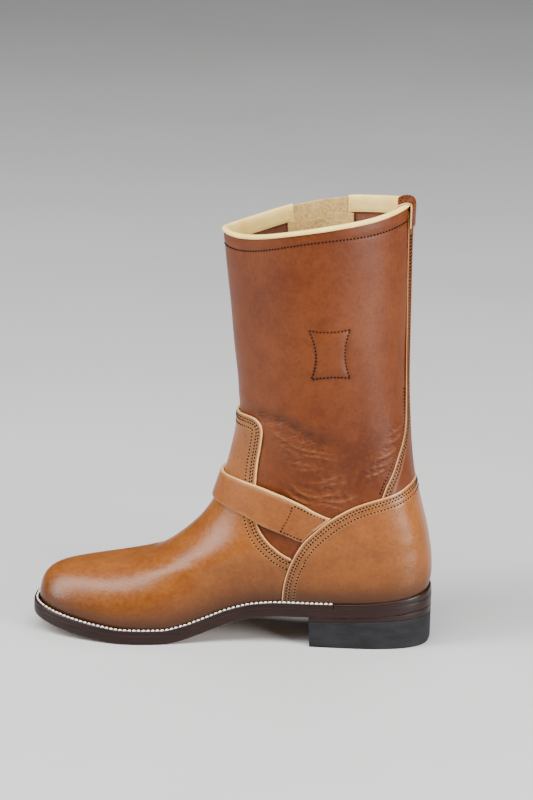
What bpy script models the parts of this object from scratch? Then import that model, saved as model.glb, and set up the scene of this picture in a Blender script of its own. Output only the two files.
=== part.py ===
"""Engineer boot for the right foot, standing empty on its sole.

Every maker's piece is one closed solid.  The upper's skin is one function of a ring number
and an angle, and the overlays, straps and trims are cut from offsets of that same skin.
Tables and sizes are in millimetres, and the finished meshes are in metres.
Axes: +Z up, the toe toward -X, the inner side of the foot toward -Y.
The origin is on the floor under the middle of the heel.
"""
import math

import bmesh
import bpy
import numpy as np

MM = 0.001

# Driving sizes
LAST_LENGTH = 290.5       # upper's own length, toe to heel
HEEL_BACK = 38.0          # furthest point of the upper behind the origin
TOE = HEEL_BACK - LAST_LENGTH
GAP = 0.3                 # space left between neighbouring pieces
WALL = 2.0                # leather of the upper
OVERLAY = 1.8             # leather of vamp and counter
STRIP = 1.4               # leather of the back strip
OUTSOLE_T = 7.0
WELT_T = 3.5
INSOLE_T = 3.0
HEEL_BREAST = -47.5
FOREFOOT_FLAT = (-157.0, -185.0)   # stretch of the forefoot that lies on the floor
WELT_END = -29.0          # where the stitched welt meets the plain rand
FACING_DEPTH = 9.5        # cream facing inside the collar
STRAP_T = 2.4
CHAPE_T = 1.8
STRAP_HALF = 12.5
WIRE = 1.5                # radius of the buckle wire
HUG = WIRE + 0.45         # radius of leather or prong bent round a bar
ROLLER_BORE = WIRE + 0.25
ROLLER_OUT = WIRE + 1.1
PRONG_T = 1.8
CUT_REACH = 120.0         # how far side cutters reach past the middle plane
COLUMNS = 40              # points round one ring of the upper

# Skin of the upper, one row a ring from the feather line up to the collar.
# The columns: front end's set-back from the toe and its height, back end's set-back from the
# heel's furthest point and its height, five half widths at equal steps from heel to toe, the
# powers that round the plan at heel and toe, and how much of the sole's curve the ring keeps.
RINGS = np.array((
    (2.5, 25.0, 4.5, 36.3, 45.0, 31.8, 30.0, 48.4, 42.0, 0.74, 0.72, 1.00),
    (0.0, 30.0, 1.8, 43.0, 47.0, 34.2, 31.5, 50.5, 44.0, 0.74, 0.72, 0.85),
    (0.5, 36.6, 0.3, 50.0, 48.0, 35.9, 32.5, 49.8, 42.5, 0.74, 0.74, 0.70),
    (3.7, 44.2, 0.0, 56.0, 48.0, 36.4, 33.5, 46.4, 38.0, 0.74, 0.79, 0.55),
    (12.5, 51.0, 0.2, 62.0, 47.5, 36.5, 34.0, 40.5, 30.5, 0.74, 0.84, 0.47),
    (28.0, 54.6, 0.8, 69.0, 46.5, 36.5, 34.8, 36.5, 22.0, 0.74, 0.86, 0.36),
    (48.5, 55.5, 1.8, 76.0, 45.0, 36.5, 35.0, 37.2, 26.5, 0.74, 0.95, 0.27),
    (73.0, 54.2, 3.0, 83.0, 44.5, 36.5, 35.2, 38.3, 37.4, 0.74, 0.80, 0.05),
    (86.0, 58.2, 4.4, 90.0, 44.0, 36.5, 35.4, 38.5, 39.2, 0.75, 0.78, 0.02),
    (98.6, 66.0, 6.0, 97.0, 43.5, 36.3, 35.5, 37.4, 36.5, 0.76, 0.78, 0.00),
    (110.5, 76.0, 7.7, 104.0, 43.0, 36.2, 35.7, 35.8, 32.5, 0.78, 0.80, 0.00),
    (121.0, 86.5, 9.2, 111.0, 42.5, 36.2, 36.0, 35.5, 32.0, 0.80, 0.82, 0.00),
    (131.0, 101.5, 11.0, 119.0, 42.0, 36.4, 36.8, 35.9, 32.5, 0.82, 0.85, 0.00),
    (138.0, 120.0, 12.9, 130.0, 42.0, 37.1, 38.2, 37.0, 33.5, 0.84, 0.89, 0.00),
    (144.0, 142.0, 14.8, 146.0, 42.5, 38.6, 40.1, 39.0, 36.0, 0.89, 0.93, 0.00),
    (148.3, 165.0, 16.3, 168.0, 44.0, 40.8, 42.4, 41.4, 39.6, 0.96, 0.98, 0.00),
    (148.0, 195.0, 17.4, 202.0, 46.0, 43.5, 44.8, 43.8, 42.5, 1.06, 1.07, 0.00),
    (144.0, 230.0, 17.0, 245.0, 48.0, 45.6, 46.6, 45.6, 44.5, 1.16, 1.19, 0.00),
    (140.5, 269.5, 16.4, 291.0, 49.5, 46.9, 47.6, 46.9, 46.0, 1.25, 1.30, 0.00),
    (137.0, 308.5, 15.4, 334.2, 50.0, 47.5, 48.0, 47.5, 46.0, 1.30, 1.38, 0.00)))
TOP = len(RINGS) - 1
COLLAR_DIP = 1.85         # how far the collar sags between its middle and its two ends
RING_STEPS = np.array((0.0, 0.6, 1.3, 2.1, 3.0, 4.0, 5.0, 6.0, 7.0, 8.0, 9.0, 10.0, 11.0, 11.8,
                       12.6, 13.4, 14.3, 15.3, 16.4, 17.6, 19.0))

# Underside of the outsole: x along the boot, height over the floor
SOLE_BOTTOM = np.array(((44, 29.6), (20, 26.7), (-2, 25.0), (-30, 23.7), (-48, 23.3),
                        (-70, 22.5), (-90, 20.2), (-109, 15.0), (-126, 8.2), (-141, 3.0),
                        (-156, 0.0), (-186, 0.0), (-207, 2.0), (-233, 6.2), (-252, 10.6),
                        (-262, 13.6)), float)
# Curve of the right foot seen from above: x, sideways shift of the middle line
MIDDLE = np.array(((60, 0), (-30, 0), (-90, 2.5), (-150, 3.5), (-200, 0.5), (-235, -4),
                   (-262, -7)), float)
# Edge margins of sole pieces past the feather line: at the back, at the toe tip, and at the
# sides of the heel and of the toe
OUTSOLE_MARGIN = (6.7, 8.5, 5.6, 7.6)
WELT_MARGIN = (6.2, 8.0, 5.1, 7.1)
LIFT_MARGIN = (6.4, 8.0, 5.2, 7.2)

# Outlines seen from the side, x and z along each cut
COUNTER_EDGE = ((-68.5, 25.0), (-67.5, 38.0), (-65.3, 51.7), (-60.2, 67.0), (-51.4, 82.5),
                (-41.5, 93.0), (-31.9, 101.1), (-17.4, 110.0), (-5.3, 114.8), (6.5, 118.1),
                (16.0, 121.0), (24.4, 125.5), (32.0, 130.5))
VAMP_EDGE = ((-56.0, 67.5), (-63.0, 70.7), (-70.0, 75.1), (-79.1, 83.4), (-85.2, 92.5),
             (-87.5, 104.0), (-87.2, 125.0), (-85.7, 140.0), (-83.4, 153.5), (-82.0, 166.0),
             (-85.0, 172.6), (-91.5, 174.8), (-104.0, 173.6), (-116.0, 172.5))
# Instep strap: angle on the ring from the back, ring numbers of its two edges
INSTEP_BAND = np.array(((70.0, 8.00, 10.85), (77.2, 8.45, 11.18), (84.2, 9.00, 11.65),
                        (95.2, 9.92, 12.30), (108.5, 10.82, 12.80), (128.8, 11.65, 13.13),
                        (150.0, 12.02, 13.24), (180.0, 12.20, 13.25)))
# Top strap near the collar: the same columns
TOP_BAND = np.array(((60.0, 18.02, 18.58), (120.0, 18.02, 18.58), (180.0, 18.02, 18.58)))
# Buckle bars as (along the strap, depth off the skin), front bar first, then the places along
# the strap of its sewn end, of the chape's sewn end and of its free tip
INSTEP_BARS = ((60.0, 7.9), (83.0, 4.8))
INSTEP_ENDS = (-98.1, 97.6, 112.0)
TOP_BARS = ((-6.0, 5.9), (16.0, 4.6))
TOP_ENDS = (-52.0, 40.0, 46.0)
SEWN_LEAN = 0.46          # lean of the instep strap's sewn ends against the counter's edge
TIP_DEPTH = 2.7           # depth of a strap's free tip off the skin
NOTCH_ANGLE = 267.5       # lateral slit of the collar, measured round the ring
NOTCH_HALF = 21.0
NOTCH_DEPTH = 62.0
BINDING_STOP = 18.0       # degrees from the slit's middle to each end of the binding
GUSSET_RISE = 2.0         # height of the gusset over the collar's cut edge
RUBBER_BREAST = 19.6      # height of the heel rubber at its breast
RUBBER_SLOPE = 0.041      # rise of its top toward the back
RAND_RISE = (3.3, 5.7)    # height of the plain rand at its front ends and at the back


def smooth_table(x, table):
    """Smooth curve through the rows of a table that never overshoots between them."""
    rows = table[np.argsort(table[:, 0])]
    xs, ys = rows[:, 0], rows[:, 1]
    step = np.diff(xs)
    rise = np.diff(ys) / step
    slope = np.zeros_like(ys)
    slope[0], slope[-1] = rise[0], rise[-1]
    for k in range(1, len(ys) - 1):
        if rise[k - 1] * rise[k] > 0:
            a, b = 2 * step[k] + step[k - 1], step[k] + 2 * step[k - 1]
            slope[k] = (a + b) / (a / rise[k - 1] + b / rise[k])
    x = np.clip(np.asarray(x, float), xs[0], xs[-1])
    k = np.clip(np.searchsorted(xs, x) - 1, 0, len(step) - 1)
    t = (x - xs[k]) / step[k]
    return (ys[k] * (1 + 2 * t) * (1 - t) ** 2 + step[k] * slope[k] * t * (1 - t) ** 2
            + ys[k + 1] * t * t * (3 - 2 * t) + step[k] * slope[k + 1] * t * t * (t - 1))


def through_rows(t, rows):
    """Smooth curve through evenly spaced rows, t counting rows from 0."""
    last = len(rows) - 1
    k = np.clip(np.floor(t).astype(int), 0, last - 1)
    f = (t - k)[..., None]
    p1, p2 = rows[k], rows[k + 1]
    p0 = np.where((k > 0)[..., None], rows[np.maximum(k - 1, 0)], 2 * p1 - p2)
    p3 = np.where((k < last - 1)[..., None], rows[np.minimum(k + 2, last)], 2 * p2 - p1)
    return 0.5 * (2 * p1 + (p2 - p0) * f + (2 * p0 - 5 * p1 + 4 * p2 - p3) * f ** 2
                  + (3 * p1 - p0 - 3 * p2 + p3) * f ** 3)


def across_stations(share, widths):
    """Half width at a share of the way from heel to toe, from five widths."""
    t = np.clip(share * 4, 0, 4 - 1e-9)
    k = np.floor(t).astype(int)
    f = t - k

    def pick(i):
        return np.take_along_axis(widths, np.clip(i, 0, 4)[..., None], -1)[..., 0]

    p1, p2 = pick(k), pick(k + 1)
    p0 = np.where(k > 0, pick(k - 1), 2 * p1 - p2)
    p3 = np.where(k < 3, pick(k + 2), 2 * p2 - p1)
    return 0.5 * (2 * p1 + (p2 - p0) * f + (2 * p0 - 5 * p1 + 4 * p2 - p3) * f ** 2
                  + (3 * p1 - p0 - 3 * p2 + p3) * f ** 3)


def sole_bottom(x):
    return smooth_table(x, SOLE_BOTTOM)


def sole_top(x):
    return sole_bottom(x) + OUTSOLE_T


def middle(x):
    return smooth_table(x, MIDDLE)


def skin(ring, angle):
    """Point of the upper's outer skin: ring number, angle 0 at the back, 180 at the front."""
    ring, angle = np.broadcast_arrays(np.asarray(ring, float), np.radians(angle))
    row = through_rows(ring, RINGS)
    front, front_z = TOE + row[..., 0], row[..., 1]
    back, back_z = HEEL_BACK - row[..., 2], row[..., 3]
    share = (1 - np.cos(angle)) / 2
    x = back + (front - back) * share
    power = row[..., 9] + (row[..., 10] - row[..., 9]) * share
    half = across_stations(share, row[..., 4:9]) * np.abs(np.sin(angle)) ** power
    y = middle(x) - np.sign(np.sin(angle)) * half
    foot = RINGS[0]
    foot_back, foot_front = HEEL_BACK - foot[2], TOE + foot[0]
    foot_share = np.clip((foot_back - x) / (foot_back - foot_front), 0, 1)
    sag = sole_top(x) + GAP - (foot[3] + (foot[1] - foot[3]) * foot_share)
    dip = COLLAR_DIP * np.clip((ring - 15) / (TOP - 15), 0, 1) ** 2 * np.sin(2 * angle) ** 2
    z = back_z + (front_z - back_z) * share + row[..., 11] * sag - dip
    return np.stack((x, y, z), -1)


def skin_frame(ring, angle):
    """Outward normal and upward tangent of the skin."""
    ring, angle = np.broadcast_arrays(np.asarray(ring, float), np.asarray(angle, float))
    up = skin(np.minimum(ring + 1e-3, TOP), angle) - skin(np.maximum(ring - 1e-3, 0), angle)
    along = skin(ring, angle + 0.05) - skin(ring, angle - 0.05)
    normal = np.cross(up, along)
    return (normal / np.linalg.norm(normal, axis=-1, keepdims=True),
            up / np.linalg.norm(up, axis=-1, keepdims=True))


def offset(ring, angle, depth):
    """Point at a depth off the skin, kept above the outsole."""
    ring, angle, depth = np.broadcast_arrays(np.asarray(ring, float), np.asarray(angle, float),
                                             np.asarray(depth, float))
    point = skin(ring, angle) + skin_frame(ring, angle)[0] * depth[..., None]
    point[..., 2] = np.maximum(point[..., 2], sole_top(point[..., 0]) + GAP)
    return point


def ring_angles(first=0.0, last=360.0):
    """Angles of the upper's columns between two limits, closer together at heel and toe."""
    t = np.radians(np.arange(-COLUMNS, 2 * COLUMNS + 1) * 360.0 / COLUMNS)
    angles = np.degrees(t - 0.075 * np.sin(2 * t))
    return angles[(angles > first - 1e-6) & (angles < last + 1e-6)]


def material(name, colour, roughness, metallic=0.0):
    made = bpy.data.materials.new(name)
    made.use_nodes = True
    shader = made.node_tree.nodes["Principled BSDF"]
    shader.inputs["Base Color"].default_value = (*colour, 1.0)
    shader.inputs["Roughness"].default_value = roughness
    shader.inputs["Metallic"].default_value = metallic
    made.diffuse_color = (*colour, 1.0)
    return made


def solid(name, points, faces, look):
    mesh = bpy.data.meshes.new(name)
    mesh.from_pydata([tuple(p * MM) for p in points], [], faces)
    shape = bmesh.new()
    shape.from_mesh(mesh)
    bmesh.ops.recalc_face_normals(shape, faces=shape.faces)
    shape.to_mesh(mesh)
    shape.free()
    made = bpy.data.objects.new(name, mesh)
    bpy.context.scene.collection.objects.link(made)
    if look:
        mesh.materials.append(look)
    return made


def block(name, inner, outer, look, closed=False):
    """Solid between two equal grids of points, rows by columns, outer facing out."""
    rows, columns = inner.shape[:2]
    points = np.concatenate((inner.reshape(-1, 3), outer.reshape(-1, 3)))
    shift = rows * columns
    faces = []

    def at(row, column, side):
        return side * shift + row * columns + column % columns

    spans = columns if closed else columns - 1
    for r in range(rows - 1):
        for c in range(spans):
            a, b, d, e = (r, c), (r, c + 1), (r + 1, c + 1), (r + 1, c)
            faces.append(tuple(at(*p, 1) for p in (a, e, d, b)))
            faces.append(tuple(at(*p, 0) for p in (a, b, d, e)))
    for c in range(spans):
        faces.append((at(0, c, 1), at(0, c + 1, 1), at(0, c + 1, 0), at(0, c, 0)))
        faces.append((at(rows - 1, c, 0), at(rows - 1, c + 1, 0),
                      at(rows - 1, c + 1, 1), at(rows - 1, c, 1)))
    if not closed:
        for r in range(rows - 1):
            faces.append((at(r, 0, 0), at(r + 1, 0, 0), at(r + 1, 0, 1), at(r, 0, 1)))
            c = columns - 1
            faces.append((at(r, c, 1), at(r + 1, c, 1), at(r + 1, c, 0), at(r, c, 0)))
    return solid(name, points, faces, look)


def tube(name, sections, look, closed=False):
    """Solid along a row of closed sections, each the same number of points."""
    count, sides = sections.shape[:2]
    points = sections.reshape(-1, 3)
    faces = []
    for k in range(count if closed else count - 1):
        n = (k + 1) % count
        for s in range(sides):
            t = (s + 1) % sides
            faces.append((k * sides + s, k * sides + t, n * sides + t, n * sides + s))
    if not closed:
        faces.append(tuple(range(sides - 1, -1, -1)))
        faces.append(tuple((count - 1) * sides + s for s in range(sides)))
    return solid(name, points, faces, look)


def prism(name, outline):
    """Cutter: a closed side outline carried right through the boot."""
    near = np.array([(x, -CUT_REACH, z) for x, z in outline])
    far = near + (0, 2 * CUT_REACH, 0)
    count = len(outline)
    faces = [tuple(range(count)), tuple(range(2 * count - 1, count - 1, -1))]
    for k in range(count):
        n = (k + 1) % count
        faces.append((n, k, count + k, count + n))
    made = solid(name, np.concatenate((near, far)), faces, None)
    made.hide_render = True
    made.display_type = 'WIRE'
    return made


def box_cutter(name, points, low, high):
    """Cutter between two heights of a mapped rectangle."""
    made = tube(name, np.array([points(low), points(high)]), None)
    made.hide_render = True
    made.display_type = 'WIRE'
    return made


def cut(target, cutter, operation):
    step = target.modifiers.new(cutter.name, 'BOOLEAN')
    step.operation = operation
    step.solver = 'EXACT'
    step.object = cutter


def smooth_outline(points, steps=2):
    """Side outline with points added between the given ones."""
    rows = np.array(points, float)
    return through_rows(np.linspace(0, len(rows) - 1, (len(rows) - 1) * steps + 1), rows)


def sole_sides(share, margin):
    """Plan outline of a sole piece: x and the y of both edges at shares from heel to toe."""
    row = RINGS[0]
    back, front = HEEL_BACK - row[2] + margin[0], TOE + row[0] - margin[1]
    share = np.asarray(share, float)
    x = back + (front - back) * share
    widths = np.broadcast_to(row[4:9] + np.linspace(margin[2], margin[3], 5), share.shape + (5,))
    power = row[9] + (row[10] - row[9]) * share
    round_end = np.clip(2 * np.sqrt(np.clip(share * (1 - share), 0, 1)), 0, 1) ** power
    half = across_stations(share, widths) * round_end
    return x, middle(x) - half, middle(x) + half


def plate(name, x, inner_y, outer_y, low, high, look, taper=0.0):
    """Flat piece with straight rungs between two edges; low and high are heights over x."""
    rungs = []
    for k in range(len(x)):
        pair = []
        for height, pull in ((low, taper), (high, 0.0)):
            for y, way in ((inner_y[k], 1), (outer_y[k], -1)):
                pair.append((x[k], y + way * min(pull, abs(outer_y[k] - inner_y[k]) / 2),
                             float(height(x[k]))))
        rungs.append((pair[0], pair[1], pair[3], pair[2]))
    sections = np.array(rungs)
    pinched = [k for k in (0, len(x) - 1) if abs(outer_y[k] - inner_y[k]) < 1e-6]
    points, index, faces = [], {}, []
    for k in range(len(x)):
        for s in range(4):
            twin = {1: 0, 3: 2}.get(s)
            if k in pinched and twin is not None:
                index[k, s] = index[k, twin]
                continue
            index[k, s] = len(points)
            points.append(sections[k, s])
    for k in range(len(x) - 1):
        for s in range(4):
            t = (s + 1) % 4
            ids = []
            for i in (index[k, s], index[k + 1, s], index[k + 1, t], index[k, t]):
                if i not in ids:
                    ids.append(i)
            if len(ids) > 2:
                faces.append(tuple(ids))
    for k, order in ((0, (0, 1, 2, 3)), (len(x) - 1, (3, 2, 1, 0))):
        if k not in pinched:
            faces.append(tuple(index[k, s] for s in order))
    return solid(name, np.array(points), faces, look)


def rim_band(name, section, angles, look):
    """Solid with a section carried round the collar.

    A point of the section is its depth off the skin, its height over the rim and how far the
    angles spread at that point.
    """
    rows = []
    for depth, height, spread in section:
        normal, up = skin_frame(float(TOP), angles * spread)
        rows.append(skin(float(TOP), angles * spread) + normal * depth + up * height)
    return tube(name, np.stack(rows, 1), look)


class Band:
    """Flat coordinates on a strap's path: mm along it, mm across it, mm off the skin."""

    def __init__(self, table, zero_angle):
        self.table = table
        self.angles = np.linspace(30.0, 330.0, 500)
        low, high = self.edges(self.angles)
        line = offset((low + high) / 2, self.angles, 2.5)
        length = np.concatenate(((0,), np.cumsum(np.linalg.norm(np.diff(line, axis=0), axis=1))))
        self.along = length - np.interp(zero_angle, self.angles, length)

    def edges(self, angles):
        fold = 180.0 - np.abs(180.0 - angles)
        return (smooth_table(fold, self.table[:, (0, 1)]),
                smooth_table(fold, self.table[:, (0, 2)]))

    def point(self, along, across, depth):
        along, across, depth = np.broadcast_arrays(along, across, depth)
        angle = np.interp(along, self.along, self.angles)
        low, high = self.edges(angle)
        ring = (low + high) / 2 + across / STRAP_HALF * (high - low) / 2
        return offset(ring, angle, depth)


def ribbon(name, band, inner, outer, halves, look, slant=(), rows=4):
    """Strap solid: inner and outer lines of (along, depth), and half widths.

    slant gives (lean, bow) of the first stations, so that a sewn end follows the edge it meets.
    """
    inner, outer = np.array(inner, float), np.array(outer, float)
    halves = np.broadcast_to(halves, len(inner))
    lean, bow = np.zeros((2, 1, len(inner)))
    for k, (first, second) in enumerate(slant):
        lean[0, k], bow[0, k] = first, second
    across = np.linspace(-1, 1, rows)[:, None] * halves[None, :]
    shift = lean * across + bow * across ** 2
    grids = [band.point(line[None, :, 0] + shift, across, line[None, :, 1])
             for line in (inner, outer)]
    return block(name, grids[0], grids[1], look)


def arc(centre, radius, first, last, steps):
    t = np.radians(np.linspace(first, last, steps))
    return [(centre[0] + radius * math.cos(v), centre[1] + radius * math.sin(v)) for v in t]


def fasten(name, band, bars, chape_end, slant, leather, steel):
    """Roller buckle on a strap: chape folded round the rear bar, frame, roller and prong."""
    front, rear = bars
    lower = rear[1] - HUG - CHAPE_T
    flat = [(chape_end, 0.45), (rear[0] + 5.5, lower + 0.05), (rear[0] + 3, lower)]
    turn = (-90, -270, 8)
    inner = flat + arc(rear, HUG + CHAPE_T, *turn) + [(rear[0] + 3, rear[1] + HUG + CHAPE_T),
                                                      (rear[0] + 4.5, rear[1] + HUG + CHAPE_T)]
    outer = [(a, d + CHAPE_T) for a, d in flat] + arc(rear, HUG, *turn)
    outer += [(rear[0] + 3, rear[1] + HUG), (rear[0] + 4.5, rear[1] + HUG)]
    chape = ribbon(name + "_chape", band, inner, outer, STRAP_HALF - 0.2, leather, slant)
    slot = box_cutter(name + "_slot", lambda d: band.point(
        np.array((rear[0] - 8, rear[0] - 8, rear[0] + 7, rear[0] + 7)),
        np.array((-2.2, 2.2, 2.2, -2.2)), d), 0.9, rear[1] + 9)
    cut(chape, slot, 'DIFFERENCE')

    half = STRAP_HALF + 2.7
    corner = 4.0
    path = []
    for a0, b0, first in ((rear[0] - corner, half - corner, 0),
                          (front[0] + corner, half - corner, 90),
                          (front[0] + corner, corner - half, 180),
                          (rear[0] - corner, corner - half, 270)):
        path += arc((a0, b0), corner, first, first + 90, 3)
        if first in (90, 270):
            bar = path[-1]
            path += [(bar[0], bar[1] * s) for s in (0.5, 0.0, -0.5)]
    path = np.array(path)
    share = (path[:, 0] - rear[0]) / (front[0] - rear[0])
    height = rear[1] + (front[1] - rear[1]) * share
    ahead = np.roll(path, -1, 0) - np.roll(path, 1, 0)
    ahead /= np.linalg.norm(ahead, axis=1, keepdims=True)
    side = np.stack((ahead[:, 1], -ahead[:, 0]), 1)
    ring = np.radians(np.arange(6) * 60.0 + 30.0)
    sections = np.stack([band.point(path[:, 0] + WIRE * math.cos(v) * side[:, 0],
                                    path[:, 1] + WIRE * math.cos(v) * side[:, 1],
                                    height + WIRE * math.sin(v)) for v in ring], 1)
    tube(name + "_buckle", sections, steel, closed=True)

    turn = np.radians(np.arange(9) * 40.0)
    span = np.linspace(-STRAP_HALF + 1.0, STRAP_HALF - 1.0, 4)
    shells = [np.stack([band.point(front[0] + r * np.cos(v), span, front[1] + r * np.sin(v))
                        for v in turn], 1) for r in (ROLLER_BORE, ROLLER_OUT)]
    block(name + "_roller", shells[0], shells[1], steel, closed=True)

    # Prong: hooked round the rear bar, through the strap's hole, down on the roller
    crown = front[1] + ROLLER_OUT + GAP
    bend = ((rear[0] - 6.0, rear[1] + HUG, PRONG_T), (front[0] + 3.4, crown, PRONG_T * 0.9),
            (front[0] - 2.2, crown - 0.2, PRONG_T * 0.6))
    inner = arc(rear, HUG, -130, 90, 7) + [(a, d) for a, d, t in bend]
    outer = arc(rear, HUG + PRONG_T, -130, 90, 7) + [(a, d + t) for a, d, t in bend]
    ribbon(name + "_prong", band, inner, outer, 1.35, steel, rows=2)


def long_strap(name, band, bars, ends, base, slant, leather):
    """Strap from its sewn end, under the roller, over the rear bar, to its free tip."""
    front, rear = bars
    first, tip = ends[0], (ends[2], TIP_DEPTH)
    under = front[1] - ROLLER_OUT - GAP - STRAP_T
    over = rear[1] + HUG + CHAPE_T + GAP + 0.1
    marks = [(first, base(first)), (first + 4, base(first + 4))]
    marks += [(a, base(a)) for a in np.arange(first + 9, front[0] - 13, 4.4)]
    marks += [(front[0] - 7, under + 0.1), (front[0] - 3, under), (front[0] + 3, under),
              (front[0] + 6.5, under + 0.6), (rear[0] - 10.5, over - 1.8), (rear[0] - 7, over),
              (rear[0] + 3, over), (rear[0] + 7, over)]
    marks += [(rear[0] + 12, tip[1] + 0.65 * (over - tip[1])),
              (rear[0] + 17, tip[1] + 0.2 * (over - tip[1])),
              (tip[0] - 5, tip[1]), (tip[0] - 2, tip[1]), (tip[0], tip[1])]
    inner = np.array(marks)
    slope = np.gradient(inner[:, 1], inner[:, 0])
    stretch = np.sqrt(1 + slope ** 2)
    outer = inner + np.stack((-STRAP_T * slope / stretch, STRAP_T / stretch), 1)
    halves = np.full(len(inner), STRAP_HALF)
    halves[-3:] = (STRAP_HALF * 0.94, STRAP_HALF * 0.75, STRAP_HALF * 0.45)
    strap = ribbon(name, band, inner, outer, halves, leather, slant)
    hole = box_cutter(name + "_hole", lambda d: band.point(
        np.array((front[0] + 4.5, front[0] + 4.5, rear[0] - 5.5, rear[0] - 5.5)),
        np.array((-2.0, 2.0, 2.0, -2.0)), d), under - 1.0, over + 6.0)
    cut(strap, hole, 'DIFFERENCE')
    return strap


def build_sole(looks):
    # Rungs stand under the upper's own columns, so that both bend at the same places
    columns = skin(0.0, ring_angles(0, 180))[:, 0]
    columns = np.sort(np.concatenate((columns, FOREFOOT_FLAT)))[::-1]
    ends = sole_sides(np.array((0.0, 1.0)), OUTSOLE_MARGIN)[0]
    share = (ends[0] - columns) / (ends[0] - ends[1])
    tips = np.array((0.0, 0.002, 0.009))
    share = np.concatenate((tips, share, 1 - tips[::-1]))
    x, near, far = sole_sides(share, OUTSOLE_MARGIN)
    plate("outsole", x, near, far, sole_bottom, sole_top, looks["edge"])

    # Insole lies inside the wall of the lowest ring
    angles = ring_angles(0, 180)
    inside = offset(0.0, angles, -WALL - 0.7)
    outside = offset(0.0, 360 - angles, -WALL - 0.7)
    plate("insole", inside[:, 0], inside[:, 1],
          np.where(np.abs(np.sin(np.radians(angles))) < 1e-6, inside[:, 1], outside[:, 1]),
          lambda v: sole_top(v) + GAP, lambda v: sole_top(v) + GAP + INSOLE_T, looks["lining"])

    # Welt and rand: inner edge follows the overlays, outer edge follows the outsole
    def rim_strip(name, angles, ring_rise, rise, look):
        share = (1 - np.cos(np.radians(angles))) / 2
        x, near, far = sole_sides(share, WELT_MARGIN)
        top_ring = rise(x) / ring_rise
        y = np.where(np.sin(np.radians(angles)) > 0, near, far)
        clear = GAP + OVERLAY + GAP + 0.25
        foot, head = offset(0.0, angles, clear), offset(top_ring, angles, clear)
        edge = np.stack((x, y), -1)
        rows = []
        for plan, up, inset in ((foot[:, :2], 0, 0), (edge, 0, 0), (edge, 0.86, 0), (edge, 1, 0.6),
                                (head[:, :2], 1, 0)):
            inward = head[:, :2] - plan
            plan = plan + inset * inward / np.maximum(np.linalg.norm(inward, axis=1,
                                                                     keepdims=True), 1)
            height = sole_top(plan[:, 0]) + GAP + up * rise(plan[:, 0])
            rows.append(np.column_stack((plan, height)))
        return tube(name, np.stack(rows, 1), look)

    ends = sole_sides(np.array((0.0, 1.0)), WELT_MARGIN)[0]
    end = math.degrees(math.acos(1 - 2 * (ends[0] - WELT_END) / (ends[0] - ends[1])))
    forward = ring_angles(end + 2, 358 - end)
    forward = np.concatenate(((end,), forward, (360 - end,)))
    rim_strip("welt", forward, 5.0, lambda v: np.full_like(v, WELT_T), looks["edge"])
    backward = ring_angles(-end + 2, end - 2)
    backward = np.concatenate(((-end + 0.35,), backward, (end - 0.35,)))
    taller = RAND_RISE[1] - RAND_RISE[0]
    rim_strip("heel_rand", backward, 6.6,
              lambda v: RAND_RISE[0] + taller * np.clip((v + 5) / 45, 0, 1) ** 1.6, looks["edge"])

    # Heel: leather lift under the outsole, rubber block on the floor
    heel_in, toe_in = RINGS[0][2], RINGS[0][0]
    stop = HEEL_BACK - heel_in + LIFT_MARGIN[0] - HEEL_BREAST
    length = LAST_LENGTH - heel_in - toe_in + LIFT_MARGIN[0] + LIFT_MARGIN[1]
    share = stop / length * (1 - np.cos(np.linspace(0, math.pi / 2, 14)))
    x, near, far = sole_sides(share, LIFT_MARGIN)

    def rubber_top(v):
        return RUBBER_BREAST + (v - HEEL_BREAST) * RUBBER_SLOPE

    plate("heel_lift", x, near, far, lambda v: rubber_top(v) + GAP,
          lambda v: sole_bottom(v) - GAP, looks["edge"])
    plate("heel_rubber", x, near, far, lambda v: 0.0, rubber_top, looks["rubber"], taper=0.8)


def build_upper(looks):
    angles = ring_angles(0, 359.9)
    grid = np.meshgrid(RING_STEPS, angles, indexing="ij")
    upper = block("upper", offset(*grid, -WALL), skin(*grid), looks["shaft"], closed=True)

    # Slit of the collar on the outer side
    rim = skin(float(TOP), NOTCH_ANGLE)
    top_z, mid_x = float(rim[2]), float(rim[0])
    slit = [(mid_x - NOTCH_HALF - 2.0, top_z + 20), (mid_x - NOTCH_HALF, top_z - 1)]
    slit += [(mid_x + 3.0 * math.cos(t), top_z - NOTCH_DEPTH + 3.0 * math.sin(t))
             for t in np.radians(np.linspace(195, 345, 6))]
    slit += [(mid_x + NOTCH_HALF, top_z + 2), (mid_x + NOTCH_HALF + 2.0, top_z + 20)]
    wedge = prism("slit", slit)
    for vertex in wedge.data.vertices:
        if vertex.co.y < 0:
            vertex.co.y = 0.0
    cut(upper, wedge, 'DIFFERENCE')


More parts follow.
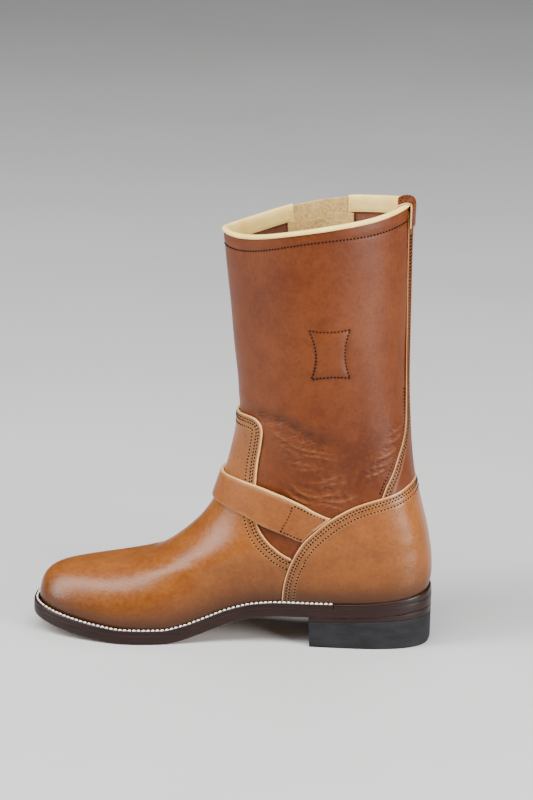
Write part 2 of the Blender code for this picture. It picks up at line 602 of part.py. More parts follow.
def build_overlays(looks):
    low, high = GAP, GAP + OVERLAY
    edge = smooth_outline(COUNTER_EDGE)
    rows = RING_STEPS[RING_STEPS < 14.5]
    grid = np.meshgrid(rows, ring_angles(-100, 100), indexing="ij")
    counter = block("counter", offset(*grid, low), offset(*grid, high), looks["vamp"])
    outline = list(map(tuple, edge)) + [(70.0, 132.0), (70.0, -20.0), (-70.0, -20.0)]
    cut(counter, prism("counter_outline", outline), 'INTERSECT')

    # Vamp runs up to the counter's front edge, then along its own edge over the instep
    own = smooth_outline(VAMP_EDGE)
    ahead = np.array([(x - 0.7, z + 0.25) for x, z in edge if z < 66.5])
    rows = RING_STEPS[RING_STEPS < 16.5]
    grid = np.meshgrid(rows, ring_angles(52, 308), indexing="ij")
    vamp = block("vamp", offset(*grid, low), offset(*grid, high), looks["vamp"])
    own = own[own[:, 0] < ahead[-1, 0] - 0.3]
    outline = [(-69.5, -20.0)] + list(map(tuple, ahead)) + list(map(tuple, own))
    outline += [(-320.0, 172.0), (-320.0, -20.0)]
    cut(vamp, prism("vamp_outline", outline), 'INTERSECT')

    # Back strip: narrow up the shaft, flaring to the counter's top edge
    reach = np.array(((12.6, 44.3), (13.2, 40.6), (13.8, 33.9), (14.4, 26.9), (14.9, 18.5),
                      (15.4, 10.8), (16.1, 8.0), (17.1, 9.0), (19.0, 13.0)))
    foot = np.array(((-1.0, 13.06), (0.0, 13.06), (17.0, 12.80), (33.0, 12.43), (46.0, 12.32),
                     (60.0, 12.28)))
    lift = np.concatenate((np.linspace(0, 0.35, 7), (0.56, 0.78, 1.0)))[:, None]
    side = np.linspace(-1, 1, 11)[None, :]
    width = smooth_table(12.6 + lift * (TOP - 0.1 - 12.6), reach)
    angle = side * width
    start = smooth_table(np.abs(side * 44.0), foot)
    ring = start + lift * (TOP - 0.1 - start)
    block("back_strip", offset(ring, angle, GAP + 0.15), offset(ring, angle, GAP + STRIP),
          looks["shaft"])


def build_collar(looks):
    # Rolled binding with its facing inside, open at the slit
    first, last = NOTCH_ANGLE + BINDING_STOP - 360, NOTCH_ANGLE - BINDING_STOP
    angles = np.concatenate(((first,), ring_angles(first + 2, last - 2), (last,)))
    inside = -WALL - GAP
    section = ((GAP, -0.8, 1), (GAP, GAP, 1), (inside, GAP, 1), (inside, -FACING_DEPTH, 1),
               (inside - 1.0, -FACING_DEPTH, 1), (inside - 0.9, 0.9, 1), (-1.0, 2.2, 1),
               (0.9, 1.4, 1), (1.25, -0.8, 1))
    rim_band("collar_binding", section, angles, looks["binding"])

    # Tab over the rim at the middle of the back, wider on the inside
    angles = np.linspace(-14.0, 14.0, 7)
    out, inn = GAP + STRIP + GAP, inside - 1.0 - GAP
    wide = 2.05
    section = ((out, -16.0, 1), (out, 1.0, 1), (0.9, 2.6, 1.2), (-1.0, 3.0, 1.5), (-3.0, 2.4, 1.8),
               (inn, 1.2, wide), (inn, -15.0, wide), (inn - 1.2, -15.0, wide),
               (inn - 1.2, 1.8, wide), (-3.6, 3.5, 1.8), (-1.0, 4.2, 1.5), (1.3, 3.8, 1.2),
               (out + 1.1, 1.6, 1), (out + 1.1, -16.0, 1))
    rim_band("collar_tab", section, angles, looks["shaft"])

    # Suede gusset behind the slit, wider below the facing
    narrow = BINDING_STOP - 0.5
    spread = np.array(((17.25, 19.0), (18.0, 22.0), (18.735, 22.0), (18.76, narrow),
                       (float(TOP), narrow)))
    ring = np.repeat(spread[:, :1], 11, 1)
    angles = NOTCH_ANGLE + np.linspace(-1, 1, 11)[None, :] * spread[:, 1:]
    flesh, face = offset(ring, angles, inside - 1.6), offset(ring, angles, inside - 0.35)
    rise = GUSSET_RISE * skin_frame(ring, angles)[1][-1]
    flesh[-1] += rise
    face[-1] += rise
    block("gusset", flesh, face, looks["suede"])


def build_straps(looks):
    instep = Band(INSTEP_BAND, 180.0)

    def instep_base(a):
        # Rides on the vamp over the instep, and comes down to the shaft at its sewn end
        ease = np.clip((a + 87.4) / 24.0, 0, 1)
        return 0.5 + (GAP + OVERLAY + 0.1) * ease * ease * (3 - 2 * ease)

    long_strap("instep_strap", instep, INSTEP_BARS, INSTEP_ENDS, instep_base,
               ((-SEWN_LEAN, -0.014), (-SEWN_LEAN, -0.014)), looks["strap"])
    fasten("instep", instep, INSTEP_BARS, INSTEP_ENDS[1], ((SEWN_LEAN, 0.010),),
           looks["strap"], looks["steel"])

    top = Band(TOP_BAND, NOTCH_ANGLE)
    long_strap("top_strap", top, TOP_BARS, TOP_ENDS, lambda a: 0.5, (), looks["strap"])
    fasten("top", top, TOP_BARS, TOP_ENDS[1], (), looks["strap"], looks["steel"])


def main():
    for thing in list(bpy.data.objects):
        bpy.data.objects.remove(thing, do_unlink=True)
    looks = {
        "shaft": material("shaft_leather", (0.24, 0.095, 0.042), 0.45),
        "vamp": material("vamp_leather", (0.32, 0.135, 0.055), 0.42),
        "strap": material("strap_leather", (0.27, 0.11, 0.048), 0.42),
        "edge": material("sole_leather", (0.045, 0.024, 0.017), 0.5),
        "rubber": material("heel_rubber", (0.03, 0.03, 0.033), 0.75),
        "lining": material("insole_leather", (0.35, 0.2, 0.11), 0.6),
        "binding": material("binding_leather", (0.62, 0.46, 0.27), 0.55),
        "suede": material("gusset_suede", (0.42, 0.27, 0.14), 0.9),
        "steel": material("buckle_steel", (0.55, 0.54, 0.52), 0.3, 1.0)}
    build_sole(looks)
    build_upper(looks)
    build_overlays(looks)
    build_collar(looks)
    build_straps(looks)


main()
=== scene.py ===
"""Engineer boot for the right foot: its leather, stitching, straps, buckles and sole.

Tables and sizes are in millimetres, and the finished meshes are in metres.
Axes: +Z up, the toe toward -X, the inner side of the foot toward -Y.
"""
import math

import bpy
import numpy as np
from mathutils import Matrix, Vector


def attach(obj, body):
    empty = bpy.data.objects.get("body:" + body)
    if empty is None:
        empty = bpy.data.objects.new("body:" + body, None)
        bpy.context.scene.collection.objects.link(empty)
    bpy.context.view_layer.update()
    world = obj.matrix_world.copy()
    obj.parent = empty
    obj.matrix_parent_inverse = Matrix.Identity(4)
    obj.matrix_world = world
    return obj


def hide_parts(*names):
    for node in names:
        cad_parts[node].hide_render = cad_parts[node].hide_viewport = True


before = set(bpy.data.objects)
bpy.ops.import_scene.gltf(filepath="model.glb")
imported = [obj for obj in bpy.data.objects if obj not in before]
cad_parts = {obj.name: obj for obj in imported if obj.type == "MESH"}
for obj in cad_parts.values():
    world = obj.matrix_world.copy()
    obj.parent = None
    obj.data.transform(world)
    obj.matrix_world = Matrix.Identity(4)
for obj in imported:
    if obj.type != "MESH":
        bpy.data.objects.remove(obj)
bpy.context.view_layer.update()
bpy.ops.object.select_all(action='DESELECT')

MM = 0.001
chance = np.random.default_rng(11)

# Sizes of the last and of the leather
LAST_LENGTH = 290.5
HEEL_BACK = 38.0
TOE = HEEL_BACK - LAST_LENGTH
GAP = 0.3
WALL = 2.0
OVERLAY = 1.8
OUTSIDE = GAP + OVERLAY   # outer face of the vamp and counter, off the skin
OUTSOLE_T = 7.0
WELT_T = 3.5
INSOLE_T = 3.0
HEEL_BREAST = -47.5
WELT_END = -29.0
FACING_DEPTH = 9.5
STRAP_T = 2.4
CHAPE_T = 1.8
STRAP_HALF = 12.5
SEWN_RUN = 6.0            # how far a strap's skived, sewn end reaches along it
WIRE = 1.5
HUG = WIRE + 0.45
ROLLER_BORE = WIRE + 0.25
ROLLER_OUT = WIRE + 1.1
PRONG_T = 1.8
RUBBER_HEIGHT = 19.6      # rubber block at the heel's breast
RUBBER_SLOPE = 0.041      # its rise toward the back

# Skin of the last, one row a ring from the feather line up to the collar.
# The columns: front end's set-back from the toe and its height, back end's set-back from the
# heel's furthest point and its height, five half widths at equal steps from heel to toe, the
# powers that round the plan at heel and toe, and how much of the sole's curve the ring keeps.
RINGS = np.array((
    (2.5, 25.0, 4.5, 36.3, 45.0, 31.8, 30.0, 48.4, 42.0, 0.74, 0.72, 1.00),
    (0.0, 30.0, 1.8, 43.0, 47.0, 34.2, 31.5, 50.5, 44.0, 0.74, 0.72, 0.85),
    (0.5, 36.6, 0.3, 50.0, 48.0, 35.9, 32.5, 49.8, 42.5, 0.74, 0.74, 0.70),
    (3.7, 44.2, 0.0, 56.0, 48.0, 36.4, 33.5, 46.4, 38.0, 0.74, 0.79, 0.55),
    (12.5, 51.0, 0.2, 62.0, 47.5, 36.5, 34.0, 40.5, 30.5, 0.74, 0.84, 0.47),
    (28.0, 54.6, 0.8, 69.0, 46.5, 36.5, 34.8, 36.5, 22.0, 0.74, 0.86, 0.36),
    (48.5, 55.5, 1.8, 76.0, 45.0, 36.5, 35.0, 37.2, 26.5, 0.74, 0.95, 0.27),
    (73.0, 54.2, 3.0, 83.0, 44.5, 36.5, 35.2, 38.3, 37.4, 0.74, 0.80, 0.05),
    (86.0, 58.2, 4.4, 90.0, 44.0, 36.5, 35.4, 38.5, 39.2, 0.75, 0.78, 0.02),
    (98.6, 66.0, 6.0, 97.0, 43.5, 36.3, 35.5, 37.4, 36.5, 0.76, 0.78, 0.00),
    (110.5, 76.0, 7.7, 104.0, 43.0, 36.2, 35.7, 35.8, 32.5, 0.78, 0.80, 0.00),
    (121.0, 86.5, 9.2, 111.0, 42.5, 36.2, 36.0, 35.5, 32.0, 0.80, 0.82, 0.00),
    (131.0, 101.5, 11.0, 119.0, 42.0, 36.4, 36.8, 35.9, 32.5, 0.82, 0.85, 0.00),
    (138.0, 120.0, 12.9, 130.0, 42.0, 37.1, 38.2, 37.0, 33.5, 0.84, 0.89, 0.00),
    (144.0, 142.0, 14.8, 146.0, 42.5, 38.6, 40.1, 39.0, 36.0, 0.89, 0.93, 0.00),
    (148.3, 165.0, 16.3, 168.0, 44.0, 40.8, 42.4, 41.4, 39.6, 0.96, 0.98, 0.00),
    (148.0, 195.0, 17.4, 202.0, 46.0, 43.5, 44.8, 43.8, 42.5, 1.06, 1.07, 0.00),
    (144.0, 230.0, 17.0, 245.0, 48.0, 45.6, 46.6, 45.6, 44.5, 1.16, 1.19, 0.00),
    (140.5, 269.5, 16.4, 291.0, 49.5, 46.9, 47.6, 46.9, 46.0, 1.25, 1.30, 0.00),
    (137.0, 308.5, 15.4, 334.2, 50.0, 47.5, 48.0, 47.5, 46.0, 1.30, 1.38, 0.00)))
TOP = len(RINGS) - 1
COLLAR_DIP = 1.85         # how far the collar sags between its middle and its two ends

# Underside of the outsole: x along the boot, height over the floor
SOLE_BOTTOM = np.array(((44, 29.6), (20, 26.7), (-2, 25.0), (-30, 23.7), (-48, 23.3),
                        (-70, 22.5), (-90, 20.2), (-109, 15.0), (-126, 8.2), (-141, 3.0),
                        (-156, 0.0), (-186, 0.0), (-207, 2.0), (-233, 6.2), (-252, 10.6),
                        (-262, 13.6)), float)
# Curve of the right foot seen from above: x, sideways shift of the middle line
MIDDLE = np.array(((60, 0), (-30, 0), (-90, 2.5), (-150, 3.5), (-200, 0.5), (-235, -4),
                   (-262, -7)), float)
# Edge margins of the sole past the feather line: back, toe tip, sides of heel and of toe
OUTSOLE_MARGIN = np.array((6.7, 8.5, 5.6, 7.6))
WELT_MARGIN = np.array((6.5, 8.3, 5.4, 7.4))
LIFT_MARGIN = np.array((6.5, 8.2, 5.4, 7.3))

# Outlines of the leather seen from the side, x and z along each cut
COUNTER_EDGE = ((-68.5, 25.0), (-67.5, 38.0), (-65.3, 51.7), (-60.2, 67.0), (-51.4, 82.5),
                (-41.5, 93.0), (-31.9, 101.1), (-17.4, 110.0), (-5.3, 114.8), (6.5, 118.1),
                (16.0, 121.0), (24.4, 125.5), (32.0, 130.5))
VAMP_EDGE = ((-56.0, 67.5), (-63.0, 70.7), (-70.0, 75.1), (-79.1, 83.4), (-85.2, 92.5),
             (-87.5, 104.0), (-87.2, 125.0), (-85.7, 140.0), (-83.4, 153.5), (-82.0, 166.0),
             (-85.0, 172.6), (-91.5, 174.8), (-104.0, 173.6), (-116.0, 172.5))
TAB_CORNER = -83.6        # x where the vamp's side edge turns into the top of its tab
TAB_HEIGHT = 165.0        # height that this turn lies above
MEET_TOP = 66.5           # height up to which the vamp is tucked under the counter's edge
COUNTER_CORNER = 7.0      # ring over which the counter's edge counts as its top
SHADE_FROM = 112.0        # height where painted shade starts to darken the vamp's tab
SHADE_RISE = 36.0         # further rise to its darkest
# Straps: angle on the ring from the back, ring numbers of the two edges
INSTEP_BAND = np.array(((70.0, 8.00, 10.85), (77.2, 8.45, 11.18), (84.2, 9.00, 11.65),
                        (95.2, 9.92, 12.30), (108.5, 10.82, 12.80), (128.8, 11.65, 13.13),
                        (150.0, 12.02, 13.24), (180.0, 12.20, 13.25)))
TOP_BAND = np.array(((60.0, 18.02, 18.58), (120.0, 18.02, 18.58), (180.0, 18.02, 18.58)))
SLIT_ANGLE = 267.5
SLIT_DEPTH = 62.0
SLIT_RADIUS = 68.6        # turns millimetres across the slit into degrees
RIM_STEP = 42.0           # about the millimetres from ring to ring at the collar
BINDING_STOP = 18.0
GUSSET_RISE = 2.0

# Stitch rows: distances in from a cut edge, and the step from stitch to stitch
SEAM_ROWS = (2.9, 4.8, 8.9)
STRIP_ROWS = (2.4, 4.2)
PITCH = 2.6
SEAM_DEPTH = OUTSIDE - 0.22
SIDE_REACH = 18           # points each way that a row's sideways direction is averaged over

# Laying of the leather: points to each row of an outline, the easing of a sheet's top corners
# (how far it reaches and its rounds), and the rounds that draw the vamp tight over the last
EDGE_STEPS = 10
FINE_STEPS = 40
CORNER_EASE = 7.0
CORNER_ROUNDS = 60
TAUT_ROUNDS = 16


# Curves and the skin of the last
def smooth_table(x, table):
    """Smooth curve through the rows of a table that never overshoots between them."""
    rows = table[np.argsort(table[:, 0])]
    xs, ys = rows[:, 0], rows[:, 1]
    step = np.diff(xs)
    rise = np.diff(ys) / step
    slope = np.zeros_like(ys)
    slope[0], slope[-1] = rise[0], rise[-1]
    for k in range(1, len(ys) - 1):
        if rise[k - 1] * rise[k] > 0:
            a, b = 2 * step[k] + step[k - 1], step[k] + 2 * step[k - 1]
            slope[k] = (a + b) / (a / rise[k - 1] + b / rise[k])
    x = np.clip(np.asarray(x, float), xs[0], xs[-1])
    k = np.clip(np.searchsorted(xs, x) - 1, 0, len(step) - 1)
    t = (x - xs[k]) / step[k]
    return (ys[k] * (1 + 2 * t) * (1 - t) ** 2 + step[k] * slope[k] * t * (1 - t) ** 2
            + ys[k + 1] * t * t * (3 - 2 * t) + step[k] * slope[k + 1] * t * t * (t - 1))


def between(p0, p1, p2, p3, f):
    """Smooth step from p1 to p2 at share f, with p0 before them and p3 after."""
    return 0.5 * (2 * p1 + (p2 - p0) * f + (2 * p0 - 5 * p1 + 4 * p2 - p3) * f ** 2
                  + (3 * p1 - p0 - 3 * p2 + p3) * f ** 3)


def through_rows(t, rows):
    """Smooth curve through evenly spaced rows, t counting rows from 0."""
    last = len(rows) - 1
    k = np.clip(np.floor(t).astype(int), 0, last - 1)
    f = (t - k)[..., None]
    p1, p2 = rows[k], rows[k + 1]
    p0 = np.where((k > 0)[..., None], rows[np.maximum(k - 1, 0)], 2 * p1 - p2)
    p3 = np.where((k < last - 1)[..., None], rows[np.minimum(k + 2, last)], 2 * p2 - p1)
    return between(p0, p1, p2, p3, f)


def smooth_line(points, steps=8):
    rows = np.array(points, float)
    return through_rows(np.linspace(0, len(rows) - 1, (len(rows) - 1) * steps + 1), rows)


def across_stations(share, widths):
    """Half width at a share of the way from heel to toe, from five widths."""
    t = np.clip(share * 4, 0, 4 - 1e-9)
    k = np.floor(t).astype(int)
    f = t - k

    def pick(i):
        return np.take_along_axis(widths, np.clip(i, 0, 4)[..., None], -1)[..., 0]

    p1, p2 = pick(k), pick(k + 1)
    p0 = np.where(k > 0, pick(k - 1), 2 * p1 - p2)
    p3 = np.where(k < 3, pick(k + 2), 2 * p2 - p1)
    return between(p0, p1, p2, p3, f)


def sole_bottom(x):
    return smooth_table(x, SOLE_BOTTOM)


def sole_top(x):
    return sole_bottom(x) + OUTSOLE_T


def middle(x):
    return smooth_table(x, MIDDLE)


def unit(vectors):
    return vectors / np.linalg.norm(vectors, axis=-1, keepdims=True)


def skin(ring, angle):
    """Point of the last's skin: ring number, angle 0 at the back, 180 at the front."""
    ring, angle = np.broadcast_arrays(np.asarray(ring, float), np.radians(angle))
    row = through_rows(ring, RINGS)
    front, front_z = TOE + row[..., 0], row[..., 1]
    back, back_z = HEEL_BACK - row[..., 2], row[..., 3]
    share = (1 - np.cos(angle)) / 2
    x = back + (front - back) * share
    power = row[..., 9] + (row[..., 10] - row[..., 9]) * share
    half = across_stations(share, row[..., 4:9]) * np.abs(np.sin(angle)) ** power
    y = middle(x) - np.sign(np.sin(angle)) * half
    foot = RINGS[0]
    foot_back, foot_front = HEEL_BACK - foot[2], TOE + foot[0]
    foot_share = np.clip((foot_back - x) / (foot_back - foot_front), 0, 1)
    sag = sole_top(x) + GAP - (foot[3] + (foot[1] - foot[3]) * foot_share)
    dip = COLLAR_DIP * np.clip((ring - 15) / (TOP - 15), 0, 1) ** 2 * np.sin(2 * angle) ** 2
    z = back_z + (front_z - back_z) * share + row[..., 11] * sag - dip
    return np.stack((x, y, z), -1)


def skin_frame(ring, angle):
    """Outward normal and upward tangent of the skin."""
    ring, angle = np.broadcast_arrays(np.asarray(ring, float), np.asarray(angle, float))
    up = skin(np.minimum(ring + 1e-3, TOP), angle) - skin(np.maximum(ring - 1e-3, 0), angle)
    along = skin(ring, angle + 0.05) - skin(ring, angle - 0.05)
    normal = np.cross(up, along)
    return unit(normal), unit(up)


def offset(ring, angle, depth):
    """Point at a depth off the skin, kept above the outsole."""
    ring, angle, depth = np.broadcast_arrays(np.asarray(ring, float), np.asarray(angle, float),
                                             np.asarray(depth, float))
    point = skin(ring, angle) + skin_frame(ring, angle)[0] * depth[..., None]
    point[..., 2] = np.maximum(point[..., 2], sole_top(point[..., 0]) + GAP)
    return point


def side_angle(ring, x):
    """Angle, on the inner side, of the skin's point with this x on a ring."""
    row = through_rows(ring, RINGS)
    front, back = TOE + row[..., 0], HEEL_BACK - row[..., 2]
    return np.degrees(np.arccos(1 - 2 * np.clip((back - x) / (back - front), 0, 1)))


def locate(x, z):
    """Ring and angle, on the inner side, of a point given in the side view."""
    low, high = np.zeros(len(x)), np.full(len(x), float(TOP))
    for _ in range(40):
        ring = (low + high) / 2
        over = skin(ring, side_angle(ring, x))[:, 2] > z
        high = np.where(over, ring, high)
        low = np.where(over, low, ring)
    return ring, side_angle(ring, x)


def slide(ring, angle, move, steps=6):
    """Ring and angle after a move along the skin, given as vectors in millimetres."""
    ring, angle = ring.copy(), angle.copy()
    for _ in range(steps):
        high, low = np.minimum(ring + 0.01, TOP), np.maximum(ring - 0.01, 0)
        up = (skin(high, angle) - skin(low, angle)) / (high - low)[:, None]
        along = (skin(ring, angle + 0.1) - skin(ring, angle - 0.1)) / 0.2
        uu, aa, ua = (up * up).sum(1), (along * along).sum(1), (up * along).sum(1)
        us, at = (up * move).sum(1) / steps, (along * move).sum(1) / steps
        base = uu * aa - ua ** 2
        ring = np.clip(ring + (us * aa - at * ua) / base, 0, TOP)
        angle = angle + (at * uu - us * ua) / base
    return ring, angle


def levelled(rows, reach):
    """Rows averaged with the neighbours within reach, the two ends repeated."""
    wide = np.pad(rows, ((reach + 1, reach), (0, 0)), mode='edge')
    total = np.cumsum(wide, axis=0)
    return (total[2 * reach + 1:] - total[:-2 * reach - 1]) / (2 * reach + 1)


def seam_row(ring, angle, distance):
    """Path at a distance beside an edge, to the right of its course as seen from outside."""
    points = skin(ring, angle)
    course = unit(np.gradient(points, axis=0))
    side = unit(levelled(np.cross(course, skin_frame(ring, angle)[0]), SIDE_REACH))
    ring, angle = slide(ring, angle, side * distance)
    clear = nearest(skin(ring, angle), points) > 0.94 * abs(distance)
    return ring[clear], angle[clear]


def arc_length(points):
    return np.concatenate(((0,), np.cumsum(np.linalg.norm(np.diff(points, axis=0), axis=1))))


def even(ring, angle, shares):
    """Points at shares of the length of a path on the skin."""
    length = arc_length(skin(ring, angle))
    at = np.asarray(shares) * length[-1]
    return np.interp(at, length, ring), np.interp(at, length, angle)


def by_weight(count, values, weight):
    """A number of the values, closer together where their weight is larger."""
    total = np.concatenate(((0,), np.cumsum((weight[1:] + weight[:-1]) / 2)))
    return np.interp(np.linspace(0, 1, count), total / total[-1], values)


def crowd(count, first=0.0, last=0.0):
    """Shares from 0 to 1, closer together toward an end by the given strength."""
    t = np.linspace(0, 1, 2001)
    weight = 1 + first * np.exp(-t / 0.06) + last * np.exp(-(1 - t) / 0.06)
    return by_weight(count, t, weight)


def drawn_tight(points, share, rounds):
    """Grid of points eased toward their neighbours, by a share that is zero where they hold."""
    eased = points.copy()
    for _ in range(rounds):
        core = eased[1:-1, 1:-1]
        mean = (eased[:-2, 1:-1] + eased[2:, 1:-1] + eased[1:-1, :-2] + eased[1:-1, 2:]) / 4
        eased[1:-1, 1:-1] = core + (mean - core) * share[1:-1, 1:-1, None]
    return eased


def four_sided(left, right, low, high, u, v):
    """Ring and angle grid filled in between four border paths on the skin."""
    lr, la = even(*left, v)
    rr, ra = even(*right, v)
    br, ba = even(*low, u)
    tr, ta = even(*high, u)
    u, v = u[None, :], v[:, None]
    grids = []
    for side, other, bottom, top in ((lr, rr, br, tr), (la, ra, ba, ta)):
        blend = ((1 - u) * side[:, None] + u * other[:, None]
                 + (1 - v) * bottom[None, :] + v * top[None, :])
        corners = ((1 - u) * (1 - v) * bottom[0] + u * (1 - v) * bottom[-1]
                   + (1 - u) * v * top[0] + u * v * top[-1])
        grids.append(blend - corners)
    grid = np.stack((np.clip(grids[0], 0, TOP), grids[1]), -1)
    points = skin(grid[..., 0], grid[..., 1])
    reach = np.minimum(np.linalg.norm(points - points[-1, 0], axis=-1),
                       np.linalg.norm(points - points[-1, -1], axis=-1))
    eased = drawn_tight(grid, hump(reach, CORNER_EASE), CORNER_ROUNDS)
    return eased[..., 0], eased[..., 1]


def nearest(points, line):
    """Distance from each point to the nearest of the line's points."""
    flat = points.reshape(-1, points.shape[-1])
    best = np.full(len(flat), 1e9)
    for start in range(0, len(flat), 4000):
        part = flat[start:start + 4000]
        gap = ((part[:, None, :] - line[None, :, :]) ** 2).sum(-1)
        best[start:start + 4000] = np.sqrt(gap.min(1))
    return best.reshape(points.shape[:-1])


def hump(distance, width):
    return np.exp(-(distance / width) ** 2)


# Materials
class Finish:
    """One procedural material, built node by node on the piece's own coordinates."""

    def __init__(self, name):
        self.look = bpy.data.materials.new(name)
        self.look.use_nodes = True
        self.tree = self.look.node_tree
        self.shader = self.tree.nodes["Principled BSDF"]
        self.place = self.add("ShaderNodeTexCoord").outputs["Object"]

    def put(self, socket, value):
        if isinstance(value, bpy.types.NodeSocket):
            self.tree.links.new(value, socket)
        else:
            socket.default_value = value

    def add(self, kind, inputs=None, **settings):
        made = self.tree.nodes.new(kind)
        for key, value in settings.items():
            setattr(made, key, value)
        for key, value in (inputs or {}).items():
            self.put(made.inputs[key], value)
        return made

    def stretched(self, scale, place=None):
        made = self.add("ShaderNodeMapping", {"Vector": place or self.place, "Scale": scale})
        return made.outputs[0]

    def noise(self, scale, detail=4.0, rough=0.55, place=None):
        made = self.add("ShaderNodeTexNoise", {"Vector": place or self.place, "Scale": scale,
                                               "Detail": detail, "Roughness": rough})
        return made.outputs[0]

    def cells(self, scale, feature='F1'):
        made = self.add("ShaderNodeTexVoronoi", {"Vector": self.place, "Scale": scale},
                        feature=feature)
        return made.outputs["Distance"]

    def span(self, value, low, high, to_low=0.0, to_high=1.0):
        made = self.add("ShaderNodeMapRange", {"Value": value, "From Min": low, "From Max": high,
                                               "To Min": to_low, "To Max": to_high})
        return made.outputs[0]

    def ramp(self, value, stops):
        made = self.add("ShaderNodeValToRGB", {"Fac": value})
        points = made.color_ramp.elements
        while len(points) < len(stops):
            points.new(0.5)
        for point, (place, colour) in zip(points, stops):
            point.position = place
            point.color = (*colour, 1.0)
        return made.outputs[0]

    def mix(self, share, first, second, way='MIX'):
        made = self.add("ShaderNodeMix", data_type='RGBA', blend_type=way)
        for slot, value in ((0, share), (6, first), (7, second)):
            if isinstance(value, tuple):
                value = (*value, 1.0)
            self.put(made.inputs[slot], value)
        return made.outputs[2]

    def times(self, first, second, way='MULTIPLY'):
        made = self.add("ShaderNodeMath", operation=way)
        self.put(made.inputs[0], first)
        self.put(made.inputs[1], second)
        return made.outputs[0]

    def note(self, name):
        return self.add("ShaderNodeAttribute", attribute_name=name).outputs["Fac"]

    def bump(self, height, strength, distance, below=None):
        made = self.add("ShaderNodeBump", {"Height": height, "Strength": strength,
                                           "Distance": distance})
        if below is not None:
            self.put(made.inputs["Normal"], below)
        return made.outputs[0]

    def finish(self, colour, roughness, normal=None, **constants):
        self.put(self.shader.inputs["Base Color"], colour)
        self.put(self.shader.inputs["Roughness"], roughness)
        if normal is not None:
            self.put(self.shader.inputs["Normal"], normal)
        for key, value in constants.items():
            self.shader.inputs[key.replace("_", " ")].default_value = value
        return self.look


def smooth_leather(name, dark, mid, light, gloss, shine, low_shade):
    """Aniline leather: clouded colour, pores, fine grain, rubbed edges, and painted shade and
    highlights on folds, beside rows and low down.
    """
    f = Finish(name)
    broad = f.noise(9.0, 3.0, 0.5)
    cloud = f.noise(64.0, 6.0, 0.62)
    mottle = f.noise(330.0, 4.0, 0.6)
    fibre = f.noise(1100.0, 4.0, 0.65)
    colour = f.ramp(broad, ((0.28, dark), (0.50, mid), (0.76, light)))
    colour = f.mix(f.span(cloud, 0.42, 0.74, 0.0, 0.45), colour, light)
    colour = f.mix(f.span(cloud, 0.52, 0.26, 0.0, 0.45), colour, dark)
    colour = f.mix(f.span(mottle, 0.50, 0.74, 0.0, 0.42), colour, light)
    colour = f.mix(f.span(mottle, 0.48, 0.28, 0.0, 0.50), colour, dark)
    colour = f.mix(f.span(fibre, 0.55, 0.80, 0.0, 0.30), colour, dark)
    pores = f.cells(1250.0)
    colour = f.mix(f.span(pores, 0.22, 0.0, 0.0, 0.18), colour, tuple(0.45 * c for c in dark))
    # Painted shade: darker toward the welt, and on the vamp's tab
    low = f.times(f.note("low"), low_shade)
    colour = f.mix(low, colour, tuple(0.25 * c for c in dark))
    fold = f.note("fold")
    # Painted highlight on crease ridges, then painted shade in crease troughs
    colour = f.mix(f.span(fold, 0.02, 0.7, 0.0, 0.42), colour, (0.38, 0.135, 0.040))
    colour = f.mix(f.span(fold, -0.04, -0.9, 0.0, 0.62), colour, tuple(0.42 * c for c in dark))
    # Paler rubbed edges, and painted highlights beside the stitch rows
    rub_and_sheen = f.times(f.note("rub_and_sheen"), f.span(cloud, 0.30, 0.65, 0.75, 1.0))
    colour = f.mix(rub_and_sheen, colour, (0.74, 0.43, 0.19))
    rough = f.span(mottle, 0.3, 0.7, gloss - 0.05, gloss + 0.07)
    soft = f.bump(f.noise(150.0, 4.0, 0.6), 0.20, 0.0006)
    worn = soft
    for note, lean in (("worn_front", 20.0), ("worn_low", -8.0), ("worn_back", -28.0)):
        turned = f.add("ShaderNodeMapping", {"Vector": f.place,
                                             "Rotation": (0.0, math.radians(lean), 0.0)})
        fine = f.noise(75.0, 4.0, 0.62, f.stretched((1.0, 1.0, 7.0), turned.outputs[0]))
        worn = f.bump(f.times(fine, f.note(note)), 0.8, 0.0024, worn)
    crease = f.bump(f.noise(260.0, 3.0, 0.5, f.stretched((1.0, 1.0, 2.6))), 0.16, 0.0004, worn)
    grain = f.bump(f.cells(820.0, 'SMOOTH_F1'), 0.26, 0.00026, crease)
    normal = f.bump(pores, 0.14, 0.00020, grain)
    return f.finish(colour, rough, normal, Coat_Weight=0.04, Coat_Roughness=0.25,
                    Specular_IOR_Level=shine)


def raw_edge(name, pale, deep):
    """Cut edge of vegetable tanned leather, with its layers of fibre."""
    f = Finish(name)
    fibre = f.noise(900.0, 5.0, 0.7, f.stretched((0.25, 0.25, 1.0)))
    cloud = f.noise(120.0, 4.0, 0.6)
    colour = f.mix(f.span(fibre, 0.35, 0.7), deep, pale)
    colour = f.mix(f.span(cloud, 0.45, 0.7, 0.0, 0.4), colour, tuple(1.12 * c for c in pale))
    normal = f.bump(fibre, 0.35, 0.0003)
    return f.finish(colour, f.span(cloud, 0.3, 0.7, 0.55, 0.7), normal)


def napped_leather(name, dark, pale, scale):
    """Suede or flesh side: short matted nap with brushed patches."""
    f = Finish(name)
    nap = f.noise(scale, 6.0, 0.72)
    patch = f.noise(85.0, 4.0, 0.6)
    colour = f.mix(f.span(nap, 0.34, 0.68), dark, pale)
    colour = f.mix(f.span(patch, 0.40, 0.65, 0.0, 0.35), colour, pale)
    colour = f.mix(f.span(patch, 0.45, 0.28, 0.0, 0.35), colour, dark)
    normal = f.bump(nap, 0.6, 0.0007)
    return f.finish(colour, f.span(patch, 0.3, 0.7, 0.86, 0.97), normal, Sheen_Weight=0.25,
                    Sheen_Roughness=0.5, Specular_IOR_Level=0.2)


